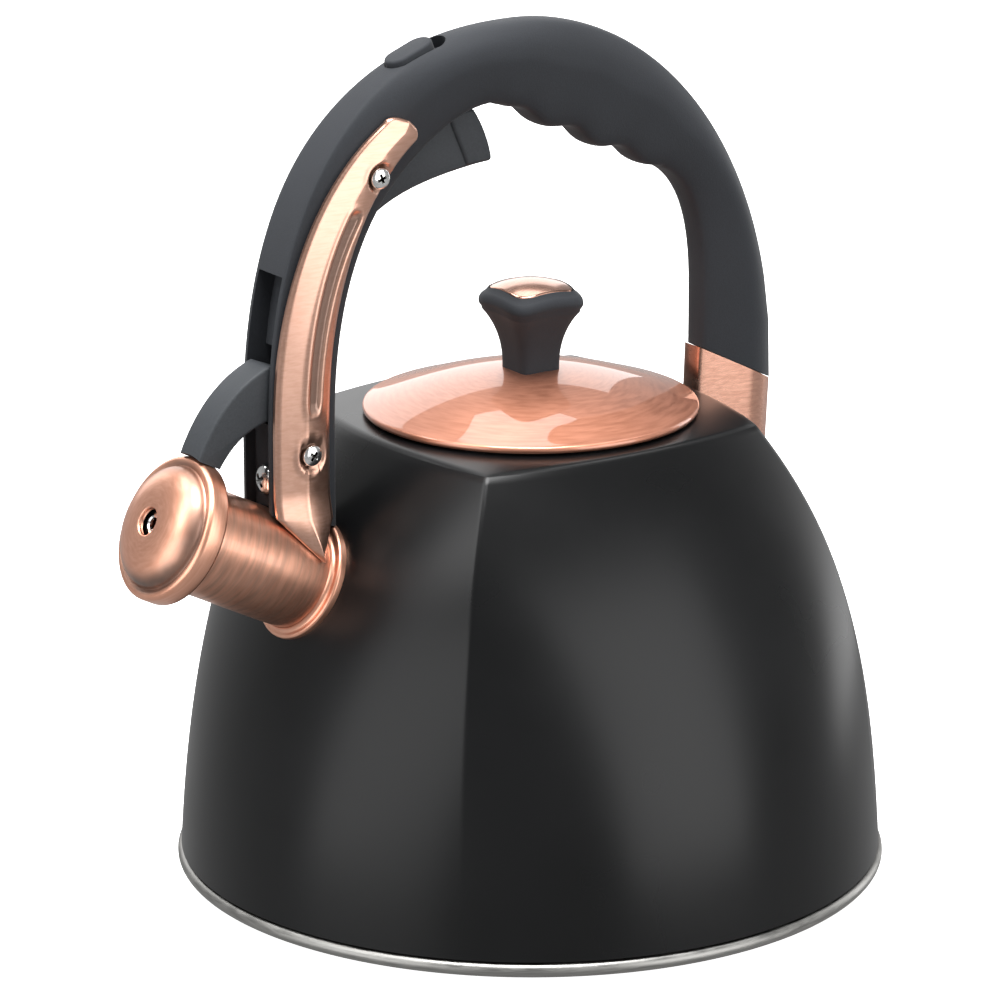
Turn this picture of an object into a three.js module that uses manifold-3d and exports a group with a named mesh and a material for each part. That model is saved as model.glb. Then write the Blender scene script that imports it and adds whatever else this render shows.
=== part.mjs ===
// Stovetop whistling kettle: a squeeze trigger under the handle swings the whistle cap off the spout.
// Millimetres, +Z up. The origin is the centre of the base on the surface that the kettle stands on.
// The spout points towards -X, and the handle arches over the lid in the XZ plane.
import * as THREE from 'three';
import { mergeVertices } from 'three/addons/utils/BufferGeometryUtils.js';
import Module from 'manifold-3d';

const wasm = await Module();
wasm.setup();

// ---- driving dimensions ----
const GAP = 0.3; // clearance between neighbours that touch on the real kettle
const CUT = 60; // length of a cutter that passes right through a piece

const FOOT_RADIUS = 103.9; // body wall at its foot, where its section is a circle
const FOOT_Z = 5.0;
const SHOULDER_Z = 136.2; // flat top of the body, a square with arched sides
const SHOULDER_CORNER = 67.0; // centre to a corner of the top
const SHOULDER_MIDDLE = 53.7; // centre to the middle of one of its sides
const BODY_TAPER = 8.0; // how far the wall leans in evenly from foot to shoulder
const CORNER_POWER = 3.4; // how late the corners curve in
const MIDDLE_POWER = 2.36; // how late the sides curve in
const WALL = 1.0;
const NECK_RADIUS = 43.5; // lid opening in the top
const NECK_DEPTH = 5.0;

const BEAD_RADIUS = 105.0; // rolled steel seam round the base
const BEAD_TOP = 4.4;
const CAP_DISC_RADIUS = 94.0; // steel cap that closes the sandwich base
const SHEET = 0.8; // sheet thickness of the base, lid and cap pressings

const LID_RADIUS = 49.1;
const LID_RIM_Z = 136.7;
const LID_TOP_Z = 147.6;
const SKIRT_DEPTH = 9.0; // how far the lid's skirt reaches below its rim

const KNOB_HEIGHT = 24.4;
const KNOB_WAIST = 6.6; // half the width of its square foot
const KNOB_FLARE = 12.8; // half the width of its square top
const KNOB_DOME = 2.4; // rise of the copper inlay

const SPOUT_TILT = THREE.MathUtils.degToRad(27); // spout axis above the horizontal
const SPOUT_ROOT = new THREE.Vector3(-79.9, 0, 99.2); // spout axis at the collar's outer edge
const SPOUT_RADIUS = 15.5;
const SPOUT_LENGTH = 44.0; // collar to mouth
const COLLAR_RADIUS = 18.2;
const CAP_RADIUS = 21.2;
const CAP_SKIRT_START = 43.3; // distances along the spout axis
const CAP_STEP = 49.6;
const CAP_TIP = 55.4;
const CAP_DOME_RADIUS = 17.6;
const WHISTLE_HOLE = 4.0; // radius of the hole in the cap's face
const RIVET_RADIUS = 1.4; // holds the cap to the lever arm
const RIVET_PLACE = 45.4; // distance along the spout axis
const RIVET_END = 25.5; // radius from the spout axis that the rivet reaches

const ARCH_X = -5.5; // centre of the handle's arch
const ARCH_Z = 140.0;
const ARCH_POWER = 2.4; // superellipse power of the arch's front half
const HANDLE_HALF = 9.0; // half the handle's width across, at the ridge along its side
const LEG_EDGE_HALF = 7.8; // half-width of the leg's flat front face
const CROWN_EDGE_HALF = 5.5; // half-width at the top of the crown's dome
const LEG_INNER_HALF = 6.2; // half-width of the inner face, at the leg and at the crown
const CROWN_INNER_HALF = 7.2;
const FRONT_REACH = 87.8; // arch centre to the front of the front leg
const REAR_REACH = 89.5; // arch centre to the back of the rear leg
const OUTER_RISE = 112.6; // arch centre to the top of the handle
const INNER_REACH = 65.0; // arch centre to the back of the front leg
const INNER_RISE = 88.5;
const REAR_INNER_X = 58.6; // inner face of the rear leg
const REAR_EDGE_HALF = 4.4; // half-widths at the handle's rear end, at its edges and its ridge
const REAR_RIDGE_HALF = 8.2;
const REAR_RIDGE_PLACE = 0.38; // of the ridge there, from the outer face to the inner
const HANDLE_CUT = THREE.MathUtils.degToRad(27); // slant of the handle's rear end
const HANDLE_END = new THREE.Vector2(84, 134); // outer corner of that end
const GRIP_PITCH = 17.5; // finger ridge to finger ridge
const GRIP_RIDGE = 1.1;

const PLATE_CREASE = 0.7; // rise of the crease along its middle
const PLATE_INNER = HANDLE_HALF + GAP; // copper side plate, from the handle outwards
const PLATE_OUTER = PLATE_INNER + 1.5;
const PLATE_FLARE = 4.0; // how far its lower tip spreads round the spout

const CHANNEL_HALF = 6.2; // slot in the front leg for the lever arm
const CHANNEL_TOP = 189.0;
const CHANNEL_DEPTH = 6.0;
const LEVER_PIVOT = new THREE.Vector2(-85, 157);
const LEVER_HALF = 5.5;
const PIN_RADIUS = 1.5;
const SWING_RADIUS = 10.8; // room round the pivot for the arm's heel

const TRIGGER_PIVOT = new THREE.Vector2(-58.5, 215);
const TRIGGER_HALF = 4.3;
const PAD_HALF = 5.2; // the finger pad at the trigger's end is wider
const SLEEVE_HALF = 7.8;
const SLEEVE_RADIUS = 3.0; // hollow pin that the trigger turns on

const ROD_FOOT = new THREE.Vector2(-78.1, 159.7);
const ROD_HEAD = new THREE.Vector2(-75.2, 204.6);
const ROD_THICK = 3.0;
const ROD_HALF = 3.5;

const BUTTON_X = -41.7; // middle of the lock button on the handle's crown
const BUTTON_LENGTH = 18.0;
const BUTTON_HALF = 5.0;
const BUTTON_TRAVEL = 4.0;

const ROUND = 28; // sides of a faceted circle on the spout and cap
const WIDE_ROUND = 48; // and on the base

// ---- materials ----
const material = (color, roughness, metalness) => new THREE.MeshStandardMaterial({ color, roughness, metalness });
const blackPaint = () => material(0x1c1d1f, 0.42, 0.0);
const copper = () => material(0xcf8f6c, 0.3, 1.0);
const steel = () => material(0xc4c6c8, 0.25, 1.0);
const softPlastic = () => material(0x35373b, 0.8, 0.0);
const aluminium = () => material(0xb8babd, 0.4, 1.0);
const silicone = () => material(0x8d8f92, 0.7, 0.0);

// ---- solids ----
// A closed surface as a solid, turned to face outwards if its triangles wind the other way.
function solid(geometry) {
  const bare = geometry.clone();
  bare.deleteAttribute('normal');
  bare.deleteAttribute('uv');
  const welded = mergeVertices(bare, 1e-4);
  const corner = welded.attributes.position;
  const points = [new THREE.Vector3(), new THREE.Vector3(), new THREE.Vector3()];
  const kept = [];
  let volume = 0;
  for (let i = 0; i < welded.index.count; i += 3) {
    const face = [0, 1, 2].map((k) => welded.index.getX(i + k));
    if (new Set(face).size < 3) continue;
    face.forEach((index, k) => points[k].fromBufferAttribute(corner, index));
    volume += points[0].dot(points[1].clone().cross(points[2]));
    kept.push(face);
  }
  const faces = volume < 0 ? kept.map(([a, b, c]) => [a, c, b]) : kept;
  const vertProperties = new Float32Array(corner.array);
  const triVerts = new Uint32Array(faces.flat());
  return new wasm.Manifold(new wasm.Mesh({ numProp: 3, vertProperties, triVerts }));
}

function surface(manifold) {
  const { vertProperties, triVerts } = manifold.getMesh();
  const geometry = new THREE.BufferGeometry();
  geometry.setAttribute('position', new THREE.BufferAttribute(vertProperties, 3));
  geometry.setIndex(new THREE.BufferAttribute(triVerts, 1));
  geometry.computeVertexNormals();
  return geometry;
}

const cutAll = (body, cutters) => cutters.reduce((left, cutter) => left.subtract(cutter), body);

// Rings of points joined into one skin; a loop joins the last ring to the first, and a stack is
// closed with a flat fan at each end.
function loft(rings, loop) {
  const across = rings[0].length;
  const positions = rings.flat().flatMap((p) => [p.x, p.y, p.z]);
  const index = [];
  const joins = loop ? rings.length : rings.length - 1;
  for (let i = 0; i < joins; i += 1) {
    const next = (i + 1) % rings.length;
    for (let j = 0; j < across; j += 1) {
      const k = (j + 1) % across;
      const quad = [i * across + j, i * across + k, next * across + k, next * across + j];
      index.push(quad[0], quad[1], quad[2], quad[0], quad[2], quad[3]);
    }
  }
  if (!loop) {
    for (const [ring, flip] of [[0, true], [rings.length - 1, false]]) {
      const centre = new THREE.Vector3();
      rings[ring].forEach((p) => centre.addScaledVector(p, 1 / across));
      const hub = positions.length / 3;
      positions.push(centre.x, centre.y, centre.z);
      for (let j = 0; j < across; j += 1) {
        const a = ring * across + j;
        const b = ring * across + ((j + 1) % across);
        index.push(hub, flip ? b : a, flip ? a : b);
      }
    }
  }
  const geometry = new THREE.BufferGeometry();
  geometry.setAttribute('position', new THREE.Float32BufferAttribute(positions, 3));
  geometry.setIndex(index);
  return geometry;
}

// A profile of [radius, height] pairs turned round the Z axis.
function turned(profile, segments = 40) {
  const geometry = new THREE.LatheGeometry(profile.map(([r, z]) => new THREE.Vector2(r, z)), segments);
  return geometry.rotateX(Math.PI / 2);
}

const ring = (inner, outer, low, high, segments) =>
  turned([[inner, low], [outer, low], [outer, high], [inner, high], [inner, low]], segments);
const disc = (radius, low, high, segments) => turned([[0, low], [radius, low], [radius, high], [0, high]], segments);

// An outline in the XZ plane, made thick across Y about the middle plane, with rounded edges.
function across(shape, half, edge = 0, steps = 2) {
  const depth = 2 * (half - edge);
  const options = { depth, curveSegments: 8, bevelEnabled: edge > 0 };
  Object.assign(options, { bevelSize: edge, bevelThickness: edge, bevelOffset: -edge, bevelSegments: steps });
  return new THREE.ExtrudeGeometry(shape, options).translate(0, 0, -depth / 2).rotateX(Math.PI / 2);
}

const outline = (points) => new THREE.Shape(points.map(([x, z]) => new THREE.Vector2(x, z)));
const slab = (points, half) => solid(across(outline(points), half));

// A cylinder across the kettle, along Y, at a point of the XZ plane.
function crossBar(centre, radius, half, segments = 20) {
  const bar = new THREE.CylinderGeometry(radius, radius, 2 * half, segments);
  return bar.translate(centre.x, 0, centre.y);
}

// Moves a piece that is built along +Z from the origin onto the spout's axis.
const onSpout = (geometry) =>
  geometry.rotateY(SPOUT_TILT - Math.PI / 2).translate(SPOUT_ROOT.x, SPOUT_ROOT.y, SPOUT_ROOT.z);

// ---- body ----
const lean = (z) => THREE.MathUtils.clamp((z - FOOT_Z) / (SHOULDER_Z - FOOT_Z), 0, 1);

function wallDistance(z, shoulder, power) {
  const late = FOOT_RADIUS - BODY_TAPER - shoulder;
  return FOOT_RADIUS - BODY_TAPER * lean(z) - late * lean(z) ** power;
}

// Distance from the axis to the wall. Each side of the section is one arc, which passes through
// two corners and bulges to the middle distance; at the foot the four arcs make a circle.
function wallRadius(angle, z) {
  const corner = wallDistance(z, SHOULDER_CORNER, CORNER_POWER);
  const middle = wallDistance(z, SHOULDER_MIDDLE, MIDDLE_POWER);
  const half = corner * Math.SQRT1_2;
  const arc = (half ** 2 + (half - middle) ** 2) / (2 * (middle - half));
  const side = angle - Math.round(angle / (Math.PI / 2)) * (Math.PI / 2);
  const back = arc - middle;
  return -back * Math.cos(side) + Math.sqrt(arc ** 2 - (back * Math.sin(side)) ** 2);
}

const SECTION_STEPS = 48;
function wallRing(z, inset) {
  return Array.from({ length: SECTION_STEPS }, (_, j) => {
    const angle = (2 * Math.PI * j) / SECTION_STEPS;
    const radius = wallRadius(angle, z) - inset;
    return new THREE.Vector3(radius * Math.cos(angle), radius * Math.sin(angle), z);
  });
}

function circleRing(radius, z) {
  return Array.from({ length: SECTION_STEPS }, (_, j) => {
    const angle = (2 * Math.PI * j) / SECTION_STEPS;
    return new THREE.Vector3(radius * Math.cos(angle), radius * Math.sin(angle), z);
  });
}

const levels = (low, high, count) => Array.from({ length: count + 1 }, (_, i) => low + ((high - low) * i) / count);

// The body's outer form, grown by an offset, for cutting the pieces that stand on it.
function bodyForm(offset) {
  const rings = levels(FOOT_Z, SHOULDER_Z, 9).map((z) => wallRing(z, -offset));
  rings.push(wallRing(SHOULDER_Z, -offset).map((p) => p.setZ(SHOULDER_Z + offset)));
  return solid(loft(rings, false));
}

const spoutBar = (radius, start, length) => solid(onSpout(disc(radius, start, start + length, ROUND)));
const spoutRoom = () => [spoutBar(SPOUT_RADIUS + GAP, -20, 80), spoutBar(COLLAR_RADIUS + GAP, -12, 14)];

function bodyShell() {
  const edge = 1.4;
  const outer = levels(FOOT_Z, SHOULDER_Z - edge, 8).map((z) => wallRing(z, 0));
  const rounded = wallRing(SHOULDER_Z, edge);
  const neck = [circleRing(NECK_RADIUS + WALL, SHOULDER_Z), circleRing(NECK_RADIUS, SHOULDER_Z - WALL)];
  const lip = [circleRing(NECK_RADIUS, SHOULDER_Z - NECK_DEPTH)];
  lip.push(circleRing(NECK_RADIUS + WALL, SHOULDER_Z - NECK_DEPTH));
  const under = [circleRing(NECK_RADIUS + WALL, SHOULDER_Z - 2 * WALL)];
  const inner = levels(SHOULDER_Z - 2 * WALL, FOOT_Z, 6).map((z) => wallRing(z, WALL));
  const skin = solid(loft([...outer, rounded, ...neck, ...lip, ...under, ...inner], true));
  return skin.subtract(spoutBar(SPOUT_RADIUS + GAP, -14, 30));
}

// Seamed steel bottom with the rolled bead that shows round the foot.
function basePan() {
  const beadInner = CAP_DISC_RADIUS + 4;
  return turned([
    [0, BEAD_TOP - SHEET], [beadInner - 2, BEAD_TOP - SHEET], [beadInner, 2.2], [beadInner + 1.6, 0.4],
    [BEAD_RADIUS - 2, 0.2], [BEAD_RADIUS - 0.4, 1.0], [BEAD_RADIUS, 2.2], [BEAD_RADIUS - 0.5, 3.6],
    [BEAD_RADIUS - 2, BEAD_TOP], [0, BEAD_TOP],
  ], WIDE_ROUND);
}

const spreaderRadius = CAP_DISC_RADIUS - SHEET - GAP;
const heatSpreader = () => disc(spreaderRadius, SHEET + GAP, BEAD_TOP - SHEET - GAP, WIDE_ROUND);

function baseCap() {
  const top = BEAD_TOP - SHEET - GAP;
  const wallStart = CAP_DISC_RADIUS - SHEET;
  return turned([
    [0, 0], [CAP_DISC_RADIUS - 1, 0], [CAP_DISC_RADIUS, 1], [CAP_DISC_RADIUS, top], [wallStart, top],
    [wallStart, SHEET], [0, SHEET],
  ], WIDE_ROUND);
}

// ---- lid ----
const lidHeight = (r) => LID_RIM_Z + 1.2 + (LID_TOP_Z - LID_RIM_Z - 1.2) * (1 - (r / LID_RADIUS) ** 2) ** 0.9;

function lidShell() {
  const hole = 2.4;
  const steps = levels(LID_RADIUS - 0.4, hole, 6);
  const top = steps.map((r) => [r, lidHeight(r)]);
  const under = steps.slice().reverse().map((r) => [Math.min(r, LID_RADIUS - SHEET - 0.6), lidHeight(r) - SHEET]);
  const rim = [[LID_RADIUS - 1.2, LID_RIM_Z], [LID_RADIUS, LID_RIM_Z + 0.4]];
  const profile = [...rim, ...top, ...under];
  profile.push(profile[0]);
  return turned(profile, 36);
}

// Steel skirt that drops into the neck, with a flange that rests on the body under the lid.
function lidSkirt() {
  const outer = NECK_RADIUS - 0.8;
  const inner = outer - SHEET;
  const low = LID_RIM_Z - SKIRT_DEPTH;
  const flange = SHOULDER_Z + GAP;
  const reach = LID_RADIUS - 2.6;
  return turned([
    [inner, low], [outer, low], [outer, flange], [reach, flange], [reach, flange + SHEET], [inner, flange + SHEET],
    [inner, low],
  ], 36);
}

// Square section with rounded corners, half-width given, at a height.
function squareRing(half, z, roundness = 0.35, steps = 24) {
  return Array.from({ length: steps }, (_, j) => {
    const angle = (2 * Math.PI * (j + 0.5)) / steps;
    const power = 2 / roundness;
    const reach = (Math.abs(Math.cos(angle)) ** power + Math.abs(Math.sin(angle)) ** power) ** (-1 / power);
    return new THREE.Vector3(half * reach * Math.cos(angle), half * reach * Math.sin(angle), z);
  });
}

const KNOB_FOOT_Z = LID_TOP_Z + GAP;
const knobHalf = (t) => KNOB_WAIST + (KNOB_FLARE - KNOB_WAIST) * t ** 2.6;

function knobBody() {
  const lipDrop = 5.0;
  const stem = levels(0, 1, 5).map((t) => squareRing(knobHalf(t), KNOB_FOOT_Z + t * (KNOB_HEIGHT - lipDrop)));
  const lip = [[KNOB_FLARE, 2.6], [KNOB_FLARE - 1, 0.8], [KNOB_FLARE - 2.6, 0]];
  const rounded = lip.map(([half, down]) => squareRing(half, KNOB_FOOT_Z + KNOB_HEIGHT - down));
  const body = solid(loft([...stem, ...rounded], false));
  const well = squareRing(KNOB_FLARE - 3.2, KNOB_FOOT_Z + KNOB_HEIGHT + 1);
  const floor = squareRing(KNOB_FLARE - 3.2, KNOB_FOOT_Z + KNOB_HEIGHT - 1.6);
  const bore = solid(disc(2.2, KNOB_FOOT_Z - 1, KNOB_FOOT_Z + 14, 16));
  return cutAll(body, [solid(loft([floor, well], false)), bore]);
}

function knobInlay() {
  const half = KNOB_FLARE - 3.2 - GAP;
  const base = KNOB_FOOT_Z + KNOB_HEIGHT - 1.6 + GAP;
  const rise = KNOB_DOME + 1.0;
  const rings = [squareRing(half, base)];
  for (const t of levels(0, 0.9, 3)) {
    rings.push(squareRing(half * Math.cos((t * Math.PI) / 2), base + 1 + rise * Math.sin((t * Math.PI) / 2) - 1e-3));
  }
  return loft(rings, false);
}

// ---- fasteners: built along +Z with the underside of the head at the origin ----
function screw(headRadius, headHeight, shankRadius, length) {
  const profile = [
    [0, -length], [shankRadius, -length], [shankRadius, 0], [headRadius, 0], [headRadius, headHeight * 0.4],
    [headRadius * 0.7, headHeight * 0.85], [0, headHeight],
  ];
  return turned(profile, 12);
}

// Points a screw's head along -Y (side -1) or +Y (side 1).
const sideways = (geometry, side) => geometry.rotateX(side < 0 ? Math.PI / 2 : -Math.PI / 2);

// ---- spout and whistle cap ----
const spoutTube = () => onSpout(ring(SPOUT_RADIUS - SHEET, SPOUT_RADIUS, -3, SPOUT_LENGTH, ROUND));

function spoutCollar() {
  const inner = SPOUT_RADIUS + GAP;
  const bead = turned([
    [inner, -5], [COLLAR_RADIUS, -5], [COLLAR_RADIUS, -0.6], [COLLAR_RADIUS - 0.9, 0.3], [inner, 1.4], [inner, -5],
  ], ROUND);
  return solid(onSpout(bead)).subtract(bodyForm(GAP));
}

// The cap's outer face as [radius, distance along the spout axis], from the skirt to the hole.
function capFace(offset) {
  const dome = levels(0, Math.PI / 2, 3).map((angle) => {
    const radius = WHISTLE_HOLE + (CAP_DOME_RADIUS - WHISTLE_HOLE) * Math.cos(angle);
    return [radius, CAP_STEP - 0.4 + (CAP_TIP - CAP_STEP) * Math.sin(angle)];
  });
  const skirt = [[CAP_RADIUS, CAP_SKIRT_START], [CAP_RADIUS, CAP_STEP - 1.4], [CAP_RADIUS - 0.9, CAP_STEP]];
  const step = [CAP_DOME_RADIUS + 0.8, CAP_STEP];
  return [...skirt, step, ...dome].map(([r, s]) => [Math.max(r - offset, WHISTLE_HOLE), s]);
}

function capShell() {
  const outer = capFace(0);
  const inner = capFace(SHEET).reverse().map(([r, s]) => [r, s === CAP_SKIRT_START ? s : s - SHEET]);
  const profile = [...outer, ...inner];
  profile.push(profile[0]);
  return solid(onSpout(turned(profile, ROUND))).subtract(solid(capRivet(RIVET_RADIUS + GAP, 0)));
}

// Rivet through the skirt into the end of the lever arm, with its flat head inside the skirt.
function capRivet(radius, headRadius) {
  const headTop = CAP_RADIUS - SHEET - GAP;
  const foot = [[0, headTop - 1.2], [Math.max(headRadius, radius), headTop - 1.2]];
  const shank = [[Math.max(headRadius, radius), headTop], [radius, headTop], [radius, RIVET_END], [0, RIVET_END]];
  return onSpout(turned([...foot, ...shank], 16).rotateY(Math.PI / 2).translate(0, 0, RIVET_PLACE));
}

// ---- handle ----
// A point of the arch: the front half is a superellipse, the rear half a plain ellipse.
function archPoint(reach, rise, power, angle) {
  const bend = (value) => Math.sign(value) * Math.abs(value) ** (2 / power);
  return [ARCH_X + reach * bend(Math.cos(angle)), ARCH_Z + rise * bend(Math.sin(angle))];
}

const arc = (reach, rise, power, from, to, count) =>
  levels(from, to, count).map((angle) => archPoint(reach, rise, power, angle));

const frontX = (z, reach = FRONT_REACH, rise = OUTER_RISE) => {
  const up = Math.max(0, (z - ARCH_Z) / rise);
  return ARCH_X - reach * (1 - up ** ARCH_POWER) ** (1 / ARCH_POWER);
};

const crownZ = (x) => {
  const along = Math.abs(x - ARCH_X) / FRONT_REACH;
  return ARCH_Z + OUTER_RISE * (1 - along ** ARCH_POWER) ** (1 / ARCH_POWER);
};

// Underside of the grip: a straight chord with a cosine ridge between each pair of fingers, from
// the trigger's pocket to the rear bend.
const GRIP_START = new THREE.Vector2(-12, 228.6);
const GRIP_END = new THREE.Vector2(43, 203.5);
const GRIP_STEPS = 22;
function gripUnderside() {
  const upwards = new THREE.Vector2(GRIP_START.y - GRIP_END.y, GRIP_END.x - GRIP_START.x).normalize();
  const ridgeX = 2; // where one of the ridges is
  return levels(0, 1, GRIP_STEPS).map((t) => {
    const point = GRIP_START.clone().lerp(GRIP_END, t);
    const fade = Math.abs(Math.sin(Math.PI * t)) ** 0.25;
    const ridge = GRIP_RIDGE * fade * Math.cos((2 * Math.PI * (point.x - ridgeX)) / GRIP_PITCH);
    return [point.x - upwards.x * ridge, point.y - upwards.y * ridge];
  });
}

// Where the handle's arch has turned to, in degrees: 180 on the front leg, 90 at the crown and 0
// on the rear leg. Each station is a pair of points, on the outer and on the inner curve.
const LEG_FOOT_Z = 104;
function handleStations() {
  const degrees = THREE.MathUtils.degToRad;
  const outer = (turn) => {
    const rear = turn < 90;
    return archPoint(rear ? REAR_REACH : FRONT_REACH, OUTER_RISE, rear ? 2 : ARCH_POWER, degrees(turn));
  };
  const inner = (turn) => archPoint(INNER_REACH, INNER_RISE, ARCH_POWER, degrees(turn));
  const frontFace = ARCH_X - FRONT_REACH;
  const backFace = ARCH_X - INNER_REACH;
  const leg = levels(LEG_FOOT_Z, ARCH_Z, 3).map((z) => [180, [frontFace, z], [backFace, z]]);
  const rise = levels(180, 94, 15).slice(1).map((turn) => [turn, outer(turn), inner(turn)]);
  const grip = gripUnderside().slice(1).map((point, i) => {
    const turn = THREE.MathUtils.lerp(94, 40, (i + 1) / GRIP_STEPS);
    return [turn, outer(turn), point];
  });
  const bend = new THREE.CubicBezierCurve(
    GRIP_END, new THREE.Vector2(53, 199), new THREE.Vector2(REAR_INNER_X, 188), new THREE.Vector2(REAR_INNER_X, 165),
  );
  const fall = bend.getPoints(7).slice(1).map((p, i) => {
    const turn = THREE.MathUtils.lerp(40, 13, (i + 1) / 7);
    return [turn, outer(turn), [p.x, p.y]];
  });
  const cutZ = HANDLE_END.y + (HANDLE_END.x - REAR_INNER_X) * Math.tan(HANDLE_CUT);
  const end = [[6, outer(6), [REAR_INNER_X, 156]], [0, [HANDLE_END.x, HANDLE_END.y], [REAR_INNER_X, cutZ]]];
  return [...leg, ...rise, ...grip, ...fall, ...end];
}

// Half-widths of the handle's section where the arch has turned to an angle: a plain rectangle on
// the front leg, which becomes a dome over a ridge on the grip, and is narrow at both edges.
function handleWidths(turn) {
  const grip = 1 - THREE.MathUtils.smoothstep(turn, 100, 150);
  const rear = 1 - THREE.MathUtils.smoothstep(turn, 0, 75);
  const mix = (leg, crown, end) => THREE.MathUtils.lerp(THREE.MathUtils.lerp(leg, crown, grip), end, rear);
  return {
    outer: mix(LEG_EDGE_HALF, CROWN_EDGE_HALF, REAR_EDGE_HALF),
    ridge: mix(HANDLE_HALF, HANDLE_HALF, REAR_RIDGE_HALF),
    inner: mix(LEG_INNER_HALF, CROWN_INNER_HALF, REAR_EDGE_HALF),
    place: mix(0.48, 0.42, REAR_RIDGE_PLACE), // of the ridge, from the outer face to the inner
  };
}

// One side of a section, as [distance from the outer face, half-width].
function sectionSide(depth, { outer, ridge, inner, place }) {
  const edge = 1.0; // corner taken off the outer and the inner face
  const domeRise = 0.72; // share of the widening already made at domePlace, on the way to the ridge
  const domePlace = 0.45;
  const dome = outer + domeRise * (ridge - outer);
  return [
    [0, outer - edge], [edge, outer], [domePlace * place * depth, dome], [place * depth, ridge],
    [depth - 1.6 * edge, inner + 0.5 * edge], [depth, inner - edge],
  ];
}

function handleCore() {
  const rings = handleStations().map(([turn, outer, inner]) => {
    const from = new THREE.Vector3(outer[0], 0, outer[1]);
    const into = new THREE.Vector3(inner[0], 0, inner[1]).sub(from);
    const depth = into.length();
    const side = sectionSide(depth, handleWidths(turn));
    const place = (u, y) => from.clone().addScaledVector(into, u / depth).setY(y);
    return [...side.map(([u, y]) => place(u, -y)), ...side.slice().reverse().map(([u, y]) => place(u, y))];
  });
  return solid(loft(rings, false));
}

// Open slot in the face of the front leg, the swing room round the lever's pivot, and the
// shallow recess below for the fixing screw.
function leverChannel() {
  const outside = -110;
  const slotTop = [frontX(CHANNEL_TOP) + CHANNEL_DEPTH, CHANNEL_TOP];
  const slotFoot = [frontX(150) + CHANNEL_DEPTH, 150];
  const slot = slab([[outside, 150], slotFoot, slotTop, [outside, CHANNEL_TOP + 3]], CHANNEL_HALF);
  const recess = slab([[outside, 90], [-90, 90], [-90, 151], [outside, 151]], CHANNEL_HALF);
  const swing = solid(crossBar(LEVER_PIVOT, SWING_RADIUS, CHANNEL_HALF, 28));
  const throat = [[outside, 145], [LEVER_PIVOT.x, LEVER_PIVOT.y - SWING_RADIUS + 0.2], [-84, 165], [outside, 165]];
  return [slot, recess, swing, slab(throat, CHANNEL_HALF)];
}

const rodAxis = ROD_HEAD.clone().sub(ROD_FOOT).normalize();
// The push rod's outline, grown by an offset, from a foot height to a head height.
function rodSlab(offset, low, high, half) {
  const at = (z, side) => {
    const x = ROD_FOOT.x + ((z - ROD_FOOT.y) * rodAxis.x) / rodAxis.y;
    return [x + side * (ROD_THICK / 2 + offset), z];
  };
  const chamfer = 0.8;
  if (offset > 0) return slab([at(low, -1), at(low, 1), at(high, 1), at(high, -1)], half);
  const foot = [[at(low, -1)[0] + chamfer, low], [at(low, 1)[0] - chamfer / 2, low], at(low + chamfer, 1)];
  return slab([...foot, at(high, 1), at(high, -1), at(low + chamfer, -1)], half);
}

// Pocket in the handle's underside that the trigger closes into.
function triggerPocket() {
  const blade = [
    [-79, 200], [-70, 193], [-56, 192], [-12, 200], [-14.2, 229], [-20, 240], [-34, 240], [-48, 231], [-64, 224],
    [-79.2, 209.5],
  ];
  const pad = [[-33, 200], [-12, 200], [-14.2, 229], [-20, 240], [-34, 240]];
  return [slab(blade, TRIGGER_HALF + 0.6), slab(pad, PAD_HALF + 0.6)];
}

// Frame on the crown that the lock button slides along: x along the handle, y outwards.
const buttonCentre = new THREE.Vector2(BUTTON_X, crownZ(BUTTON_X));
const buttonTilt = Math.atan2(crownZ(BUTTON_X + 1) - crownZ(BUTTON_X - 1), 2);
const onCrown = (geometry) => geometry.rotateY(-buttonTilt).translate(buttonCentre.x, 0, buttonCentre.y);

// A bar with half-round ends, seen from above, between two distances along the handle.
function lozenge(start, end, half, low, high, edge = 0) {
  const shape = new THREE.Shape();
  shape.moveTo(start + half, -half);
  shape.lineTo(end - half, -half);
  shape.absarc(end - half, 0, half, -Math.PI / 2, Math.PI / 2, false);
  shape.lineTo(start + half, half);
  shape.absarc(start + half, 0, half, Math.PI / 2, (3 * Math.PI) / 2, false);
  const options = { depth: high - low - 2 * edge, curveSegments: 6, bevelEnabled: edge > 0 };
  Object.assign(options, { bevelSize: edge, bevelThickness: edge, bevelOffset: -edge, bevelSegments: 2 });
  return onCrown(new THREE.ExtrudeGeometry(shape, options).translate(0, 0, low + edge));
}

const buttonPocket = () =>
  solid(lozenge(-BUTTON_LENGTH / 2 - 0.5, BUTTON_LENGTH / 2 + BUTTON_TRAVEL + 0.5, BUTTON_HALF + 0.4, -4.6, 8));
const lockButton = () => lozenge(-BUTTON_LENGTH / 2, BUTTON_LENGTH / 2, BUTTON_HALF, -4.2, 1.7, 1.1);

// Outlines of the two welded steel brackets inside the handle, grown by an offset.
const BRACKET_HALF = 5.0;
const TONGUE_HALF = 4.0;
const BRACKET_BACK = -72.6;
const bracketOutline = (grow) => [
  [-84.6 - grow, 95], [-84.6 - grow, 135 + grow], [-80 + grow, 135 + grow], [-80 + grow, 125.5 + grow],
  [BRACKET_BACK + grow, 125.5 + grow], [BRACKET_BACK + grow, 95],
];
const tongueOutline = (grow) => [
  [67 - grow, 95], [67 - grow, 175 + grow], [75 + grow, 175 + grow], [75 + grow, 95],
];

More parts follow.
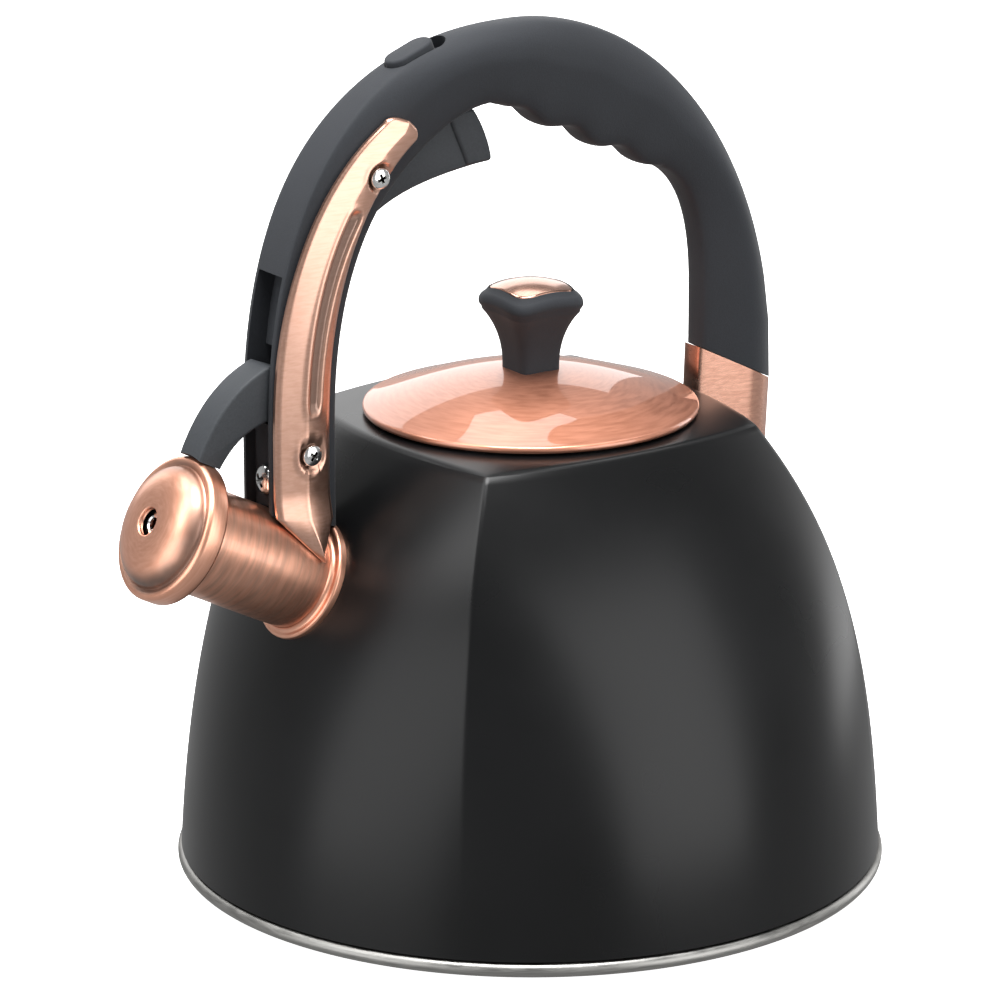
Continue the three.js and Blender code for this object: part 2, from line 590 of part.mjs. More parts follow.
const LEG_SCREW_Z = 130;
const REAR_SCREW_Z = 160;
const REAR_HEAD = 3.0;
const REAR_HEAD_X = 79.4;
const SCREW_POCKET = 3.6; // radius of the pocket round a plate screw's head
const PLATE_SEAT = PLATE_INNER + PLATE_CREASE + 0.3; // floor of that pocket
const UPPER_SCREW = TRIGGER_PIVOT;
const LOWER_SCREW = new THREE.Vector2(-81.8, 138.2);

const lengthwise = (radius, from, to, z, segments = 16) =>
  solid(new THREE.CylinderGeometry(radius, radius, to - from, segments).rotateZ(Math.PI / 2).translate((from + to) / 2, 0, z));

function handleGrip() {
  const bracketRoom = slab(bracketOutline(0.4), BRACKET_HALF + GAP);
  const tongueRoom = slab(tongueOutline(0.4), TONGUE_HALF + GAP);
  return cutAll(handleCore(), [
    ...spoutRoom(),
    bodyForm(GAP),
    ...leverChannel(),
    rodSlab(0.4, 155, 212, ROD_HALF + 0.4),
    ...triggerPocket(),
    buttonPocket(),
    solid(crossBar(TRIGGER_PIVOT, SLEEVE_RADIUS + GAP, CUT)),
    solid(crossBar(LEVER_PIVOT, PIN_RADIUS + GAP, HANDLE_HALF - 1)),
    solid(crossBar(LOWER_SCREW, 1.3 + GAP, CUT, 16)),
    bracketRoom,
    tongueRoom,
    lengthwise(2 + GAP, -95, -78, LEG_SCREW_Z),
    lengthwise(1.6 + GAP, 70, 95, REAR_SCREW_Z),
    lengthwise(REAR_HEAD + GAP, REAR_HEAD_X, 95, REAR_SCREW_Z),
  ]);
}

// ---- copper side plates ----
const PLATE_REACH = { front: 87.4, back: 69.2 };
const PLATE_RISE = { front: 103, back: 95.5 };
const PLATE_TIP_Z = 107.4; // point of the V at the plate's foot
const PLATE_SHOULDER_Z = { front: 121, back: 119 }; // where the V meets the plate's two edges

// Where one edge of the plate lies at each station, from the point of its V to its rounded top.
function plateEdges() {
  const tip = new THREE.Vector2(-80.6, PLATE_TIP_Z);
  const turnEnd = { front: 2.12, back: 2.11 }; // radians along each edge, where the top's rounding begins
  const endRise = 3.6; // how far the rounded top stands out past them
  const edge = (side) => {
    const face = ARCH_X - PLATE_REACH[side];
    const shoulder = new THREE.Vector2(face, PLATE_SHOULDER_Z[side]);
    const vee = levels(0.04, 1, 4).map((t) => tip.clone().lerp(shoulder, t));
    const leg = levels(shoulder.y, ARCH_Z, 2).slice(1).map((z) => new THREE.Vector2(face, z));
    const curve = arc(PLATE_REACH[side], PLATE_RISE[side], ARCH_POWER, Math.PI, turnEnd[side], 11);
    return [...vee, ...leg, ...curve.slice(1).map(([x, z]) => new THREE.Vector2(x, z))];
  };
  const front = edge('front');
  const back = edge('back');
  const middle = front.at(-1).clone().add(back.at(-1)).multiplyScalar(0.5);
  const half = front.at(-1).clone().sub(middle);
  const ahead = new THREE.Vector2(half.y, -half.x).normalize();
  for (const turn of [30, 60, 84].map(THREE.MathUtils.degToRad)) {
    const along = middle.clone().addScaledVector(ahead, endRise * Math.sin(turn));
    front.push(along.clone().addScaledVector(half, Math.cos(turn)));
    back.push(along.clone().addScaledVector(half, -Math.cos(turn)));
  }
  return front.map((point, i) => [point, back[i]]);
}

const plateFlare = (z) => PLATE_FLARE * THREE.MathUtils.smoothstep(-z, -128, -108);

// The plate rises to a crease along its middle and falls back towards the handle behind it.
function plateBow(share, z) {
  const curl = 1 - THREE.MathUtils.smoothstep(z, 160, 200); // none where the handle is at its widest
  const front = -1.1 * curl;
  const rear = -0.75 * curl;
  const middle = 0.5;
  if (share < middle) return front + (PLATE_CREASE - front) * (share / middle);
  return PLATE_CREASE + (rear - PLATE_CREASE) * ((share - middle) / (1 - middle)) ** 1.5;
}

// Shallow groove along the plate, between its screws.
function plateGroove(side) {
  const reach = 76;
  const rise = 95;
  const half = 1.9;
  const floor = PLATE_INNER + 0.9;
  const band = (offset) => arc(reach + offset, rise + offset, ARCH_POWER, 3.05, 2.46, 8);
  const depth = 10; // of the cutter, far more than the plate's thickness
  const cut = across(outline([...band(half), ...band(-half).reverse()]), depth / 2);
  return solid(cut.translate(0, side * (floor + depth / 2), 0));
}

// One side plate: a bowed sheet whose lower tip spreads outwards to clear the spout.
function sidePlate(side) {
  const shares = [0, 0.08, 0.29, 0.5, 0.71, 0.92, 1];
  const edge = 0.4; // rounding of the outer face at its two edges
  const rings = plateEdges().map(([front, back]) => {
    const point = (share, y) => {
      const place = front.clone().lerp(back, share);
      return new THREE.Vector3(place.x, side * (y + plateBow(share, place.y) + plateFlare(place.y)), place.y);
    };
    const outer = shares.map((share) => point(share, PLATE_OUTER - (share % 1 === 0 ? edge : 0)));
    const inner = shares.map((share) => point(share, PLATE_INNER)).reverse();
    return [...outer, ...inner];
  });
  const screwHoles = [UPPER_SCREW, LOWER_SCREW].map((centre) => solid(crossBar(centre, 1.5 + GAP, CUT, 16)));
  const pockets = [UPPER_SCREW, LOWER_SCREW].map((centre) => {
    const bar = new THREE.CylinderGeometry(SCREW_POCKET, SCREW_POCKET, 20, 20);
    return solid(bar.translate(centre.x, side * (PLATE_SEAT + 10), centre.y));
  });
  const cutters = [...screwHoles, ...pockets, plateGroove(side), ...spoutRoom(), bodyForm(GAP)];
  return cutAll(solid(loft(rings, false)), cutters);
}

// ---- brackets ----
// Steel angle welded to the body inside the front leg; the leg screw threads into it.
function frontBracket() {
  const angle = slab(bracketOutline(0), BRACKET_HALF);
  return cutAll(angle, [...spoutRoom(), bodyForm(GAP), lengthwise(1.6 + GAP, -90, -78, LEG_SCREW_Z)]);
}

const STRAP_TOP = HANDLE_END.y - GAP;
// Copper strap between the body's rear side and the slanted end of the handle, with the handle's
// ridged section.
function rearStrap() {
  const inner = REAR_INNER_X - 1.2;
  const outer = HANDLE_END.x - 1.0;
  const half = { outer: REAR_EDGE_HALF - 0.6, ridge: REAR_RIDGE_HALF - 0.6, inner: REAR_EDGE_HALF - 0.6 };
  const side = sectionSide(outer - inner, { ...half, place: REAR_RIDGE_PLACE });
  const foot = -2.0; // the strap leans in towards the lid as it goes down
  const levelOf = (drop) => {
    const point = (u, y) => {
      const x = outer - u;
      const top = STRAP_TOP + (HANDLE_END.x - x) * Math.tan(HANDLE_CUT);
      return drop ? new THREE.Vector3(x + foot, y, 96) : new THREE.Vector3(x, y, top);
    };
    return [...side.map(([u, y]) => point(u, -y)), ...side.slice().reverse().map(([u, y]) => point(u, y))];
  };
  const bar = solid(loft([levelOf(true), levelOf(false)], false));
  return cutAll(bar, [bodyForm(GAP), slab(tongueOutline(0.6), TONGUE_HALF + GAP)]);
}

// Steel tongue welded to the body; it stands inside the strap and reaches into the handle.
function rearTongue() {
  const bar = slab(tongueOutline(0), TONGUE_HALF);
  return cutAll(bar, [bodyForm(GAP), lengthwise(1.6 + GAP, 60, 90, REAR_SCREW_Z)]);
}

// ---- trigger, push rod and lever ----
function triggerBody() {
  const shape = outline([
    [-14.6, 213.6], [-16.5, 213.0], [-27, 212.8], [-41.3, 210.6], [-49.7, 207.2], [-57.5, 201.8], [-64, 200.4],
    [-70, 202.5], [-72.6, 205.3], [-77, 205.7], [-77.4, 207.6], [-74, 209.6], [-67, 212.5], [-62, 219.6], [-56, 220.8],
    [-45, 222.4], [-33, 226.6], [-22.5, 229.4], [-20.6, 228.8],
  ]);
  const pad = outline([[-14.6, 213.6], [-16.5, 213.0], [-27, 212.8], [-29.4, 227.6], [-22.5, 229.4], [-20.6, 228.8]]);
  const blade = solid(across(shape, TRIGGER_HALF, 0.8, 1));
  const wide = solid(across(pad, PAD_HALF, 1.2, 1));
  return blade.add(wide).subtract(solid(crossBar(TRIGGER_PIVOT, SLEEVE_RADIUS + GAP, CUT)));
}

// Hollow steel pin; the two upper plate screws thread into its ends.
function triggerSleeve() {
  const wall = ring(1.3 + GAP, SLEEVE_RADIUS, -SLEEVE_HALF, SLEEVE_HALF, 20);
  return wall.rotateX(Math.PI / 2).translate(TRIGGER_PIVOT.x, 0, TRIGGER_PIVOT.y);
}

// Curved arm from the cap to the pivot inside the front leg, with a tail behind the pivot.
function leverArm() {
  const top = new THREE.QuadraticBezierCurve(
    new THREE.Vector2(-117.2, 136), new THREE.Vector2(-109.5, 158), new THREE.Vector2(-92, 164.4),
  );
  const under = new THREE.QuadraticBezierCurve(
    new THREE.Vector2(-91, 148.6), new THREE.Vector2(-102.5, 147.2), new THREE.Vector2(-109.2, 135.5),
  );
  const curve = (bend) => bend.getPoints(8).map((p) => [p.x, p.y]);
  const heel = [[-85, 161.6], [-81.6, 159.6], [-80, 158.4], [-76.4, 158.2], [-75.8, 156.6], [-76.6, 155], [-85, 152.4]];
  const arm = solid(across(outline([...curve(top), ...heel, ...curve(under)]), LEVER_HALF, 0.8, 1));
  const waist = LEVER_HALF - 2.4; // the hub is narrower, to leave room for the spring
  const sideCuts = [-1, 1].map((side) => {
    const room = new THREE.CylinderGeometry(SWING_RADIUS - 3.4, SWING_RADIUS - 3.4, 4, 24);
    return solid(room.translate(LEVER_PIVOT.x, side * (waist + 2), LEVER_PIVOT.y));
  });
  const capRoom = spoutBar(CAP_RADIUS + GAP, CAP_SKIRT_START - 3, 20);
  const rivetHole = solid(capRivet(RIVET_RADIUS + GAP, 0));
  return cutAll(arm, [capRoom, rivetHole, solid(crossBar(LEVER_PIVOT, PIN_RADIUS + GAP, CUT)), ...sideCuts]);
}

// Torsion spring beside the lever's hub, wound round the pin.
function leverSpring() {
  const turns = 2;
  const pitch = 1.0;
  class Coil extends THREE.Curve {
    getPoint(t, target = new THREE.Vector3()) {
      const angle = 2 * Math.PI * turns * t;
      return target.set(2.5 * Math.cos(angle), 2.5 * Math.sin(angle), pitch * turns * (t - 0.5));
    }
  }
  const wire = new THREE.Shape().absarc(0, 0, 0.35, 0, 2 * Math.PI);
  const coil = new THREE.ExtrudeGeometry(wire, { steps: 24, curveSegments: 2, extrudePath: new Coil() });
  return coil.rotateX(Math.PI / 2).translate(LEVER_PIVOT.x, -4.6, LEVER_PIVOT.y);
}

// ---- assembly ----
const kettle = new THREE.Group();

function add(name, form, look) {
  const geometry = form instanceof THREE.BufferGeometry ? surface(solid(form)) : surface(form);
  const mesh = new THREE.Mesh(geometry, look);
  mesh.name = name;
  kettle.add(mesh);
}

add('body_shell', bodyShell(), blackPaint());
add('base_pan', basePan(), steel());
add('heat_spreader', heatSpreader(), aluminium());
add('base_cap', baseCap(), steel());

add('lid_shell', lidShell(), copper());
add('lid_skirt', lidSkirt(), steel());
add('knob_body', knobBody(), softPlastic());
add('knob_inlay', knobInlay(), copper());
add('knob_washer', ring(2.4, 7, LID_TOP_Z - 2.6, LID_TOP_Z - SHEET - 2 * GAP, 16), steel());
add('knob_screw', screw(3.6, 1.8, 1.9, 14).rotateX(Math.PI).translate(0, 0, LID_TOP_Z - 2.6 - GAP), steel());

add('spout_tube', spoutTube(), copper());
add('spout_collar', spoutCollar(), copper());
add('cap_shell', capShell(), copper());
add('cap_seal', onSpout(ring(6, CAP_RADIUS - SHEET - 2.2, SPOUT_LENGTH + GAP, SPOUT_LENGTH + 2.8, 24)), silicone());
add('cap_rivet', capRivet(RIVET_RADIUS, 1.8), steel());
add('whistle_rear_disc', onSpout(ring(1.5, 13, SPOUT_LENGTH + 3.2, SPOUT_LENGTH + 3.9, 20)), steel());
add('whistle_front_disc', onSpout(ring(1.5, 10, CAP_TIP - 3.2, CAP_TIP - 2.5, 20)), steel());

add('handle_grip', handleGrip(), softPlastic());
for (const [label, side] of [['right', -1], ['left', 1]]) {
  add(`side_plate_${label}`, sidePlate(side), copper());
  for (const [place, centre] of [['upper', UPPER_SCREW], ['lower', LOWER_SCREW]]) {
    const plateScrew = sideways(screw(3, 1.7, 1.3, 7), side);
    plateScrew.translate(centre.x, side * (PLATE_SEAT + GAP), centre.y);
    add(`plate_screw_${label}_${place}`, plateScrew, steel());
  }
}
add('front_bracket', frontBracket(), steel());
add('leg_screw', screw(4.4, 2.4, 1.6, 10).rotateY(-Math.PI / 2).translate(-90 - GAP, 0, LEG_SCREW_Z), steel());
add('rear_strap', rearStrap(), copper());
add('rear_tongue', rearTongue(), steel());
add('rear_screw', screw(REAR_HEAD, 1.8, 1.6, 8).rotateY(Math.PI / 2).translate(REAR_HEAD_X + GAP, 0, REAR_SCREW_Z), steel());

add('trigger', triggerBody(), softPlastic());
add('trigger_sleeve', triggerSleeve(), steel());
add('push_rod', rodSlab(0, ROD_FOOT.y, ROD_HEAD.y, ROD_HALF), softPlastic());
add('lever_arm', leverArm(), softPlastic());
add('lever_pin', crossBar(LEVER_PIVOT, PIN_RADIUS, HANDLE_HALF - 1.4, 16), steel());
add('lever_spring', leverSpring(), steel());
add('lock_button', lockButton(), softPlastic());

export default kettle;
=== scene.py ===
"""Looks of a stovetop whistling kettle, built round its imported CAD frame.

Shapes are worked out in millimetres, in the frame's own axes: +Z up, the spout towards -X and the
handle's arch in the XZ plane. Pieces are made in metres.
"""
import math

import bmesh
import bpy
import numpy as np
from mathutils import Matrix, Vector


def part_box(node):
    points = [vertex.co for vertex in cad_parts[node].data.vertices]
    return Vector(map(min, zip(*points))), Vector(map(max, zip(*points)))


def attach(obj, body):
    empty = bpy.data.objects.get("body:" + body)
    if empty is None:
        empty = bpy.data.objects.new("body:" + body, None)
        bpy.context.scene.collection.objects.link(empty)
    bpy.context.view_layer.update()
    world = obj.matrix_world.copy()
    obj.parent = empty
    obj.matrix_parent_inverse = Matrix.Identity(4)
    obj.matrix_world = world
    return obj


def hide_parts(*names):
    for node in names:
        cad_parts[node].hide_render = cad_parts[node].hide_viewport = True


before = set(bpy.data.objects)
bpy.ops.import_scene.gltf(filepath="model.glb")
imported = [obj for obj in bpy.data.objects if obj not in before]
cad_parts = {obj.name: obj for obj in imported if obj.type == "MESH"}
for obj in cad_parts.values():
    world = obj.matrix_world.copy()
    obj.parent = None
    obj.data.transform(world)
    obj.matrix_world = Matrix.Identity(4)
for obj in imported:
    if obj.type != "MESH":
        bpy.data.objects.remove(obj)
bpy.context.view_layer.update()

MM = 0.001


def reach(node):
    """Lowest and highest corner of a CAD node, in millimetres."""
    low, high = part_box(node)
    return np.array(low) / MM, np.array(high) / MM


# ---- driving dimensions, in millimetres ----
FOOT_RADIUS = reach("body_shell")[1][0]
FOOT_Z, SHOULDER_Z = reach("body_shell")[0][2], reach("body_shell")[1][2]
SHOULDER_CORNER = 65.4  # axis to where two sides of the top would meet
SHOULDER_MIDDLE = 53.7
SHOULDER_EDGE = 1.3  # height over which the shoulder is rounded
SHOULDER_LIP = 1.3 * SHOULDER_EDGE  # how far in from the edge the rounding ends
TOP_DROOP = 1.1  # how far the top has fallen at its corners
CREASE_HALF = 0.9  # half-width of the soft line where two sides meet
BODY_TAPER, CORNER_POWER, MIDDLE_POWER = 8.0, 3.4, 2.36
NECK_RADIUS, NECK_DEPTH, WALL = 43.5, 5.0, 1.0

BEAD_RADIUS, BEAD_TOP = reach("base_pan")[1][0], reach("base_pan")[1][2]
CAP_DISC_RADIUS = reach("base_cap")[1][0]

LID_RADIUS = reach("lid_shell")[1][0]
LID_TOP_Z = reach("knob_body")[0][2] + 1.3
LID_RIM_Z = reach("lid_shell")[0][2]
KNOB_FOOT_Z, KNOB_FLARE = LID_TOP_Z - 0.5, reach("knob_body")[1][0]
KNOB_TOP_Z = reach("knob_inlay")[1][2]
KNOB_WAIST = 6.6
KNOB_DROP = 2.9  # how far the knob's domed top has fallen at the middle of its sides
KNOB_SEAM = KNOB_FLARE - 2.7  # half-width of the inlay
KNOB_LIP = 1.9  # radius of the lip's rounding

SPOUT_TILT = math.radians(27)
SPOUT_ROOT = np.array([-79.9, 0.0, 99.2])
SPOUT_AXIS = np.array([-math.cos(SPOUT_TILT), 0.0, math.sin(SPOUT_TILT)])
SPOUT_RADIUS, SPOUT_LENGTH = reach("spout_tube")[1][1], 44.0
COLLAR_RADIUS, CAP_RADIUS = reach("spout_collar")[1][1], reach("cap_shell")[1][1]
CAP_SKIRT_START, CAP_STEP, CAP_TIP = 43.3, 49.6, 55.4
CAP_DOME_RADIUS, WHISTLE_HOLE, WHISTLE_BORE = 17.6, 4.0, 1.6

ARCH_X, ARCH_Z, ARCH_POWER = -5.5, 140.0, 2.4
FRONT_REACH, REAR_REACH, OUTER_RISE = 87.8, 89.5, 112.6
INNER_REACH, INNER_RISE, REAR_INNER_X = 65.0, 88.5, 58.6
HANDLE_CUT, HANDLE_END = math.radians(27), np.array([84.0, 134.0])
HANDLE_HALF = reach("handle_grip")[1][1]
LEG_EDGE_HALF, CROWN_EDGE_HALF, LEG_INNER_HALF, CROWN_INNER_HALF = 7.8, 5.5, 6.2, 7.2
REAR_EDGE_HALF, REAR_RIDGE_HALF, REAR_RIDGE_PLACE = 4.4, 8.2, 0.38
GRIP_START, GRIP_END = np.array([-12.0, 228.6]), np.array([43.0, 203.5])
GRIP_TURNS = 94, 40  # where the finger ridges start and end, in degrees round the arch
GRIP_PITCH, GRIP_RIDGE, RIDGE_X = 17.5, 1.3, 2.0
HOLLOW = 2.2  # depth of the hollow ahead of the first finger ridge
LEG_FOOT_Z = 104.0

PLATE_REACH, PLATE_RISE = {"front": 87.4, "back": 69.2}, {"front": 103.0, "back": 95.5}
PLATE_TURN_END = {"front": 2.12, "back": 2.11}
PLATE_SHOULDER_Z, PLATE_TIP = {"front": 121.0, "back": 119.0}, np.array([-80.6, 107.4])
PLATE_INNER, PLATE_OUTER, PLATE_CREASE, PLATE_FLARE = 9.3, 10.8, 1.2, 4.0
PLATE_SEAT = PLATE_INNER + 1.0
PLATE_SHORT = 0.08  # share of its width that the left plate's front edge is set back

GROOVE_REACH, GROOVE_RISE, GROOVE_TURNS = 76.0, 95.0, (3.05, 2.46)
GROOVE_LOW_Z, GROOVE_HIGH_Z = 150.5, 205.25

CHANNEL_HALF, CHANNEL_TOP, CHANNEL_DEPTH = 6.2, 189.0, 6.0
LEVER_PIVOT, SWING_RADIUS = np.array([-85.0, 157.0]), 10.8
LEVER_HALF, TRIGGER_HALF, PAD_HALF = 5.5, 4.3, 5.2
UPPER_SCREW, LOWER_SCREW = np.array([-58.5, 215.0]), np.array([-81.8, 138.2])
LEG_SCREW, REAR_SCREW = np.array([-90.3, 130.0]), np.array([79.7, 160.0])
BUTTON_X, BUTTON_LENGTH, BUTTON_HALF, BUTTON_TRAVEL = -41.7, 15.4, 4.2, 4.0

SIDES = {"right": -1, "left": 1}


# ---- small maths ----
def smoothstep(value, low, high):
    t = np.clip((value - low) / (high - low), 0.0, 1.0)
    return t * t * (3 - 2 * t)


def mix(a, b, t):
    return a + (b - a) * t


def chaikin(ring, rounds):
    """Cuts the corners of a closed ring of points, which rounds them."""
    for _ in range(rounds):
        after = np.roll(ring, -1, axis=0)
        ring = np.stack([0.75 * ring + 0.25 * after, 0.25 * ring + 0.75 * after], axis=1)
        ring = ring.reshape(-1, ring.shape[-1])
    return ring


def bezier(points, count):
    t = np.linspace(0, 1, count)[:, None]
    points = [np.asarray(p, float) for p in points]
    while len(points) > 1:
        points = [mix(a, b, t) for a, b in zip(points, points[1:])]
    return points[0]


def arc(centre, radius, start, end, count):
    """Points of a circle's arc in a plane, with the angles in degrees."""
    turn = np.radians(np.linspace(start, end, count))
    return [(centre[0] + radius * math.cos(a), centre[1] + radius * math.sin(a)) for a in turn]


def arch(reach_x, rise, power, turn):
    """Points of the handle's arch, a superellipse, for angles in radians."""
    turn = np.asarray(turn, float)
    c, s = np.cos(turn), np.sin(turn)
    x = ARCH_X + reach_x * np.sign(c) * np.abs(c) ** (2 / power)
    z = ARCH_Z + rise * np.sign(s) * np.abs(s) ** (2 / power)
    return np.stack([x, z], axis=-1)


# ---- meshes ----
def link(name, mesh):
    obj = bpy.data.objects.new(name, mesh)
    bpy.context.scene.collection.objects.link(obj)
    return obj


def solid(name, vertices, faces):
    """A closed mesh object, in metres from millimetres, with its normals outwards."""
    mesh = bpy.data.meshes.new(name)
    mesh.from_pydata([tuple(v) for v in np.asarray(vertices, float) * MM], [], faces)
    work = bmesh.new()
    work.from_mesh(mesh)
    bmesh.ops.remove_doubles(work, verts=work.verts, dist=1e-7)
    bmesh.ops.recalc_face_normals(work, faces=work.faces)
    work.to_mesh(mesh)
    work.free()
    return link(name, mesh)


def loft(name, rings, loop=False):
    """Rings with the same number of points, joined into one skin, and closed at the ends or in a loop."""
    rings = np.asarray(rings, float)
    rows, across, _ = rings.shape
    faces = []
    for i in range(rows if loop else rows - 1):
        for j in range(across):
            k, n = (j + 1) % across, (i + 1) % rows
            faces.append((i * across + j, i * across + k, n * across + k, n * across + j))
    if not loop:
        faces.append(tuple(range(across))[::-1])
        faces.append(tuple(range((rows - 1) * across, rows * across)))
    return solid(name, rings.reshape(-1, 3), faces)


def turned(name, profile, segments=160, place=None):
    """A closed profile of (radius, height) turned round Z, then placed by a function of its points."""
    turn = np.linspace(0, 2 * np.pi, segments, endpoint=False)
    rings = []
    for r, z in profile:
        rings.append(np.stack([r * np.cos(turn), r * np.sin(turn), np.full(segments, z)], axis=1))
    if place:
        rings = [place(ring) for ring in rings]
    return loft(name, rings, loop=True)


def on_spout(points):
    """Points built round +Z from the origin, moved onto the spout's axis."""
    up = np.array([math.sin(SPOUT_TILT), 0.0, math.cos(SPOUT_TILT)])
    points = np.asarray(points, float)
    side = np.array([0.0, 1.0, 0.0])
    return SPOUT_ROOT + points[:, :1] * up + points[:, 1:2] * side + points[:, 2:] * SPOUT_AXIS


def slab(name, outline, low, high):
    """An outline in the XZ plane, made thick from low to high along Y."""
    x, z = np.asarray(outline, float).T
    return loft(name, [np.stack([x, np.full(len(x), y), z], axis=1) for y in (low, high)])


def apply(obj):
    """Bakes an object's modifiers into its mesh."""
    bpy.context.view_layer.update()
    evaluated = obj.evaluated_get(bpy.context.evaluated_depsgraph_get())
    mesh = bpy.data.meshes.new_from_object(evaluated)
    old = obj.data
    obj.modifiers.clear()
    obj.data = mesh
    bpy.data.meshes.remove(old)


def combine(obj, others, operation="DIFFERENCE"):
    """Cuts the others out of an object, or joins them to it, and removes them."""
    for other in others:
        cut = obj.modifiers.new("cut", "BOOLEAN")
        cut.operation = operation
        cut.solver = "EXACT"
        cut.object = other
        apply(obj)
        bpy.data.objects.remove(other)


def soften(obj, width, segments, angle):
    """Gives an object a modifier that rounds the edges sharper than an angle in degrees."""
    bevel = obj.modifiers.new("edge", "BEVEL")
    bevel.width = width * MM
    bevel.segments = segments
    bevel.limit_method = "ANGLE"
    bevel.angle_limit = math.radians(angle)


def rounded(obj, width, segments, angle=50):
    soften(obj, width, segments, angle)
    apply(obj)
    return obj


def finish(obj, look, body, slot, *nodes, sharp=32):
    """Gives a piece its material and its body, and hides the CAD nodes that it stands for. slot is not used.
    """
    obj.data.materials.clear()
    obj.data.materials.append(look)
    obj.data.shade_smooth()
    obj.data.set_sharp_from_angle(angle=math.radians(sharp))
    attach(obj, body)
    if nodes:
        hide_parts(*nodes)


# ---- material helpers ----
def add(tree, kind, inputs=None, **settings):
    """A shader node with its settings and its inputs: values, or outputs of other nodes."""
    node = tree.nodes.new(kind)
    for name, value in settings.items():
        setattr(node, name, value)
    for name, value in (inputs or {}).items():
        if isinstance(value, bpy.types.NodeSocket):
            tree.links.new(value, node.inputs[name])
        else:
            node.inputs[name].default_value = value
    return node


def maths(tree, operation, a, b=0.0, clamp=False):
    return add(tree, "ShaderNodeMath", {0: a, 1: b}, operation=operation, use_clamp=clamp).outputs[0]


def vector(tree, operation, a, b=(0, 0, 0), scale=1.0):
    node = add(tree, "ShaderNodeVectorMath", {0: a, 1: b, 3: scale}, operation=operation)
    return node.outputs["Value"] if operation in ("LENGTH", "DOT_PRODUCT", "DISTANCE") else node.outputs[0]


def spread(tree, value, low, high, to_low, to_high):
    """A value mapped smoothly from one range to another."""
    node = add(tree, "ShaderNodeMapRange", {"Value": value, "From Min": low, "From Max": high},
               interpolation_type="SMOOTHSTEP")
    node.inputs["To Min"].default_value = to_low
    node.inputs["To Max"].default_value = to_high
    return node.outputs["Result"]


def blend(tree, share, first, second):
    """A colour between two colours."""
    node = tree.nodes.new("ShaderNodeMix")
    node.data_type = "RGBA"
    for socket, value in ((node.inputs[0], share), (node.inputs[6], first), (node.inputs[7], second)):
        if isinstance(value, bpy.types.NodeSocket):
            tree.links.new(value, socket)
        else:
            socket.default_value = value if isinstance(value, float) else (*value, 1.0)
    return node.outputs[2]


def noise(tree, where, scale, detail=2.0, rough=0.5):
    inputs = {"Vector": where, "Scale": scale, "Detail": detail, "Roughness": rough}
    return add(tree, "ShaderNodeTexNoise", inputs).outputs["Fac"]


def place_mm(tree):
    """Where the surface is, in millimetres, in the piece's own frame."""
    here = add(tree, "ShaderNodeTexCoord").outputs["Object"]
    return vector(tree, "SCALE", here, scale=1 / MM)


def start(name, **values):
    """A new material with a Principled shader whose plain values are set on its own sockets."""
    look = bpy.data.materials.new(name)
    look.use_nodes = True
    tree = look.node_tree
    shader = tree.nodes["Principled BSDF"]
    for socket, value in values.items():
        shader.inputs[socket.replace("_", " ")].default_value = value
    return look, tree, shader


def cover(tree, shader, colour, rough, grain, strength, depth):
    """Links a shader's colour and roughness, and its relief, with the depth in millimetres."""
    relief = add(tree, "ShaderNodeBump", {"Height": grain, "Strength": strength, "Distance": depth * MM})
    tree.links.new(colour, shader.inputs["Base Color"])
    tree.links.new(rough, shader.inputs["Roughness"])
    tree.links.new(relief.outputs["Normal"], shader.inputs["Normal"])


def round_axis(tree, where, origin, axis):
    """Distance along an axis, distance from it and angle round it, for points in millimetres."""
    local = vector(tree, "SUBTRACT", where, tuple(origin))
    along = vector(tree, "DOT_PRODUCT", local, tuple(axis))
    radius = vector(tree, "LENGTH", vector(tree, "CROSS_PRODUCT", local, tuple(axis)))
    side = vector(tree, "DOT_PRODUCT", local, (0.0, 1.0, 0.0))
    if abs(axis[2]) > 0.9:
        other = vector(tree, "DOT_PRODUCT", local, (1.0, 0.0, 0.0))
    else:
        other = vector(tree, "DOT_PRODUCT", local, (axis[2], 0.0, -axis[0]))
    return along, radius, maths(tree, "ARCTAN2", side, other)


def joined(tree, x, y, z):
    return add(tree, "ShaderNodeCombineXYZ", {"X": x, "Y": y, "Z": z}).outputs[0]


def split(tree, where):
    """The X, Y and Z of a point."""
    return add(tree, "ShaderNodeSeparateXYZ", {"Vector": where}).outputs


def mostly(tree, fine, coarse):
    """Three parts of a fine pattern and one part of a coarse one."""
    return maths(tree, "ADD", maths(tree, "MULTIPLY", fine, 0.75), maths(tree, "MULTIPLY", coarse, 0.25))


# ---- looks ----
COPPER_LIGHT, COPPER_DARK = (0.93, 0.49, 0.34), (0.85, 0.41, 0.27)
# the first of these colours is tarnish, and on the cap's dome border also a painted dark reflection
# the second of these colours is painted shade, put into recesses
PATINA_AND_SHADE, RECESS_SHADE = (0.16, 0.115, 0.095), (0.05, 0.045, 0.035)
BLACK, LESS_BLACK = (0.0025, 0.0027, 0.003), (0.004, 0.0042, 0.0047)
GRAIN_RELIEF = 0.04  # height of the brushed metals' grain, in millimetres


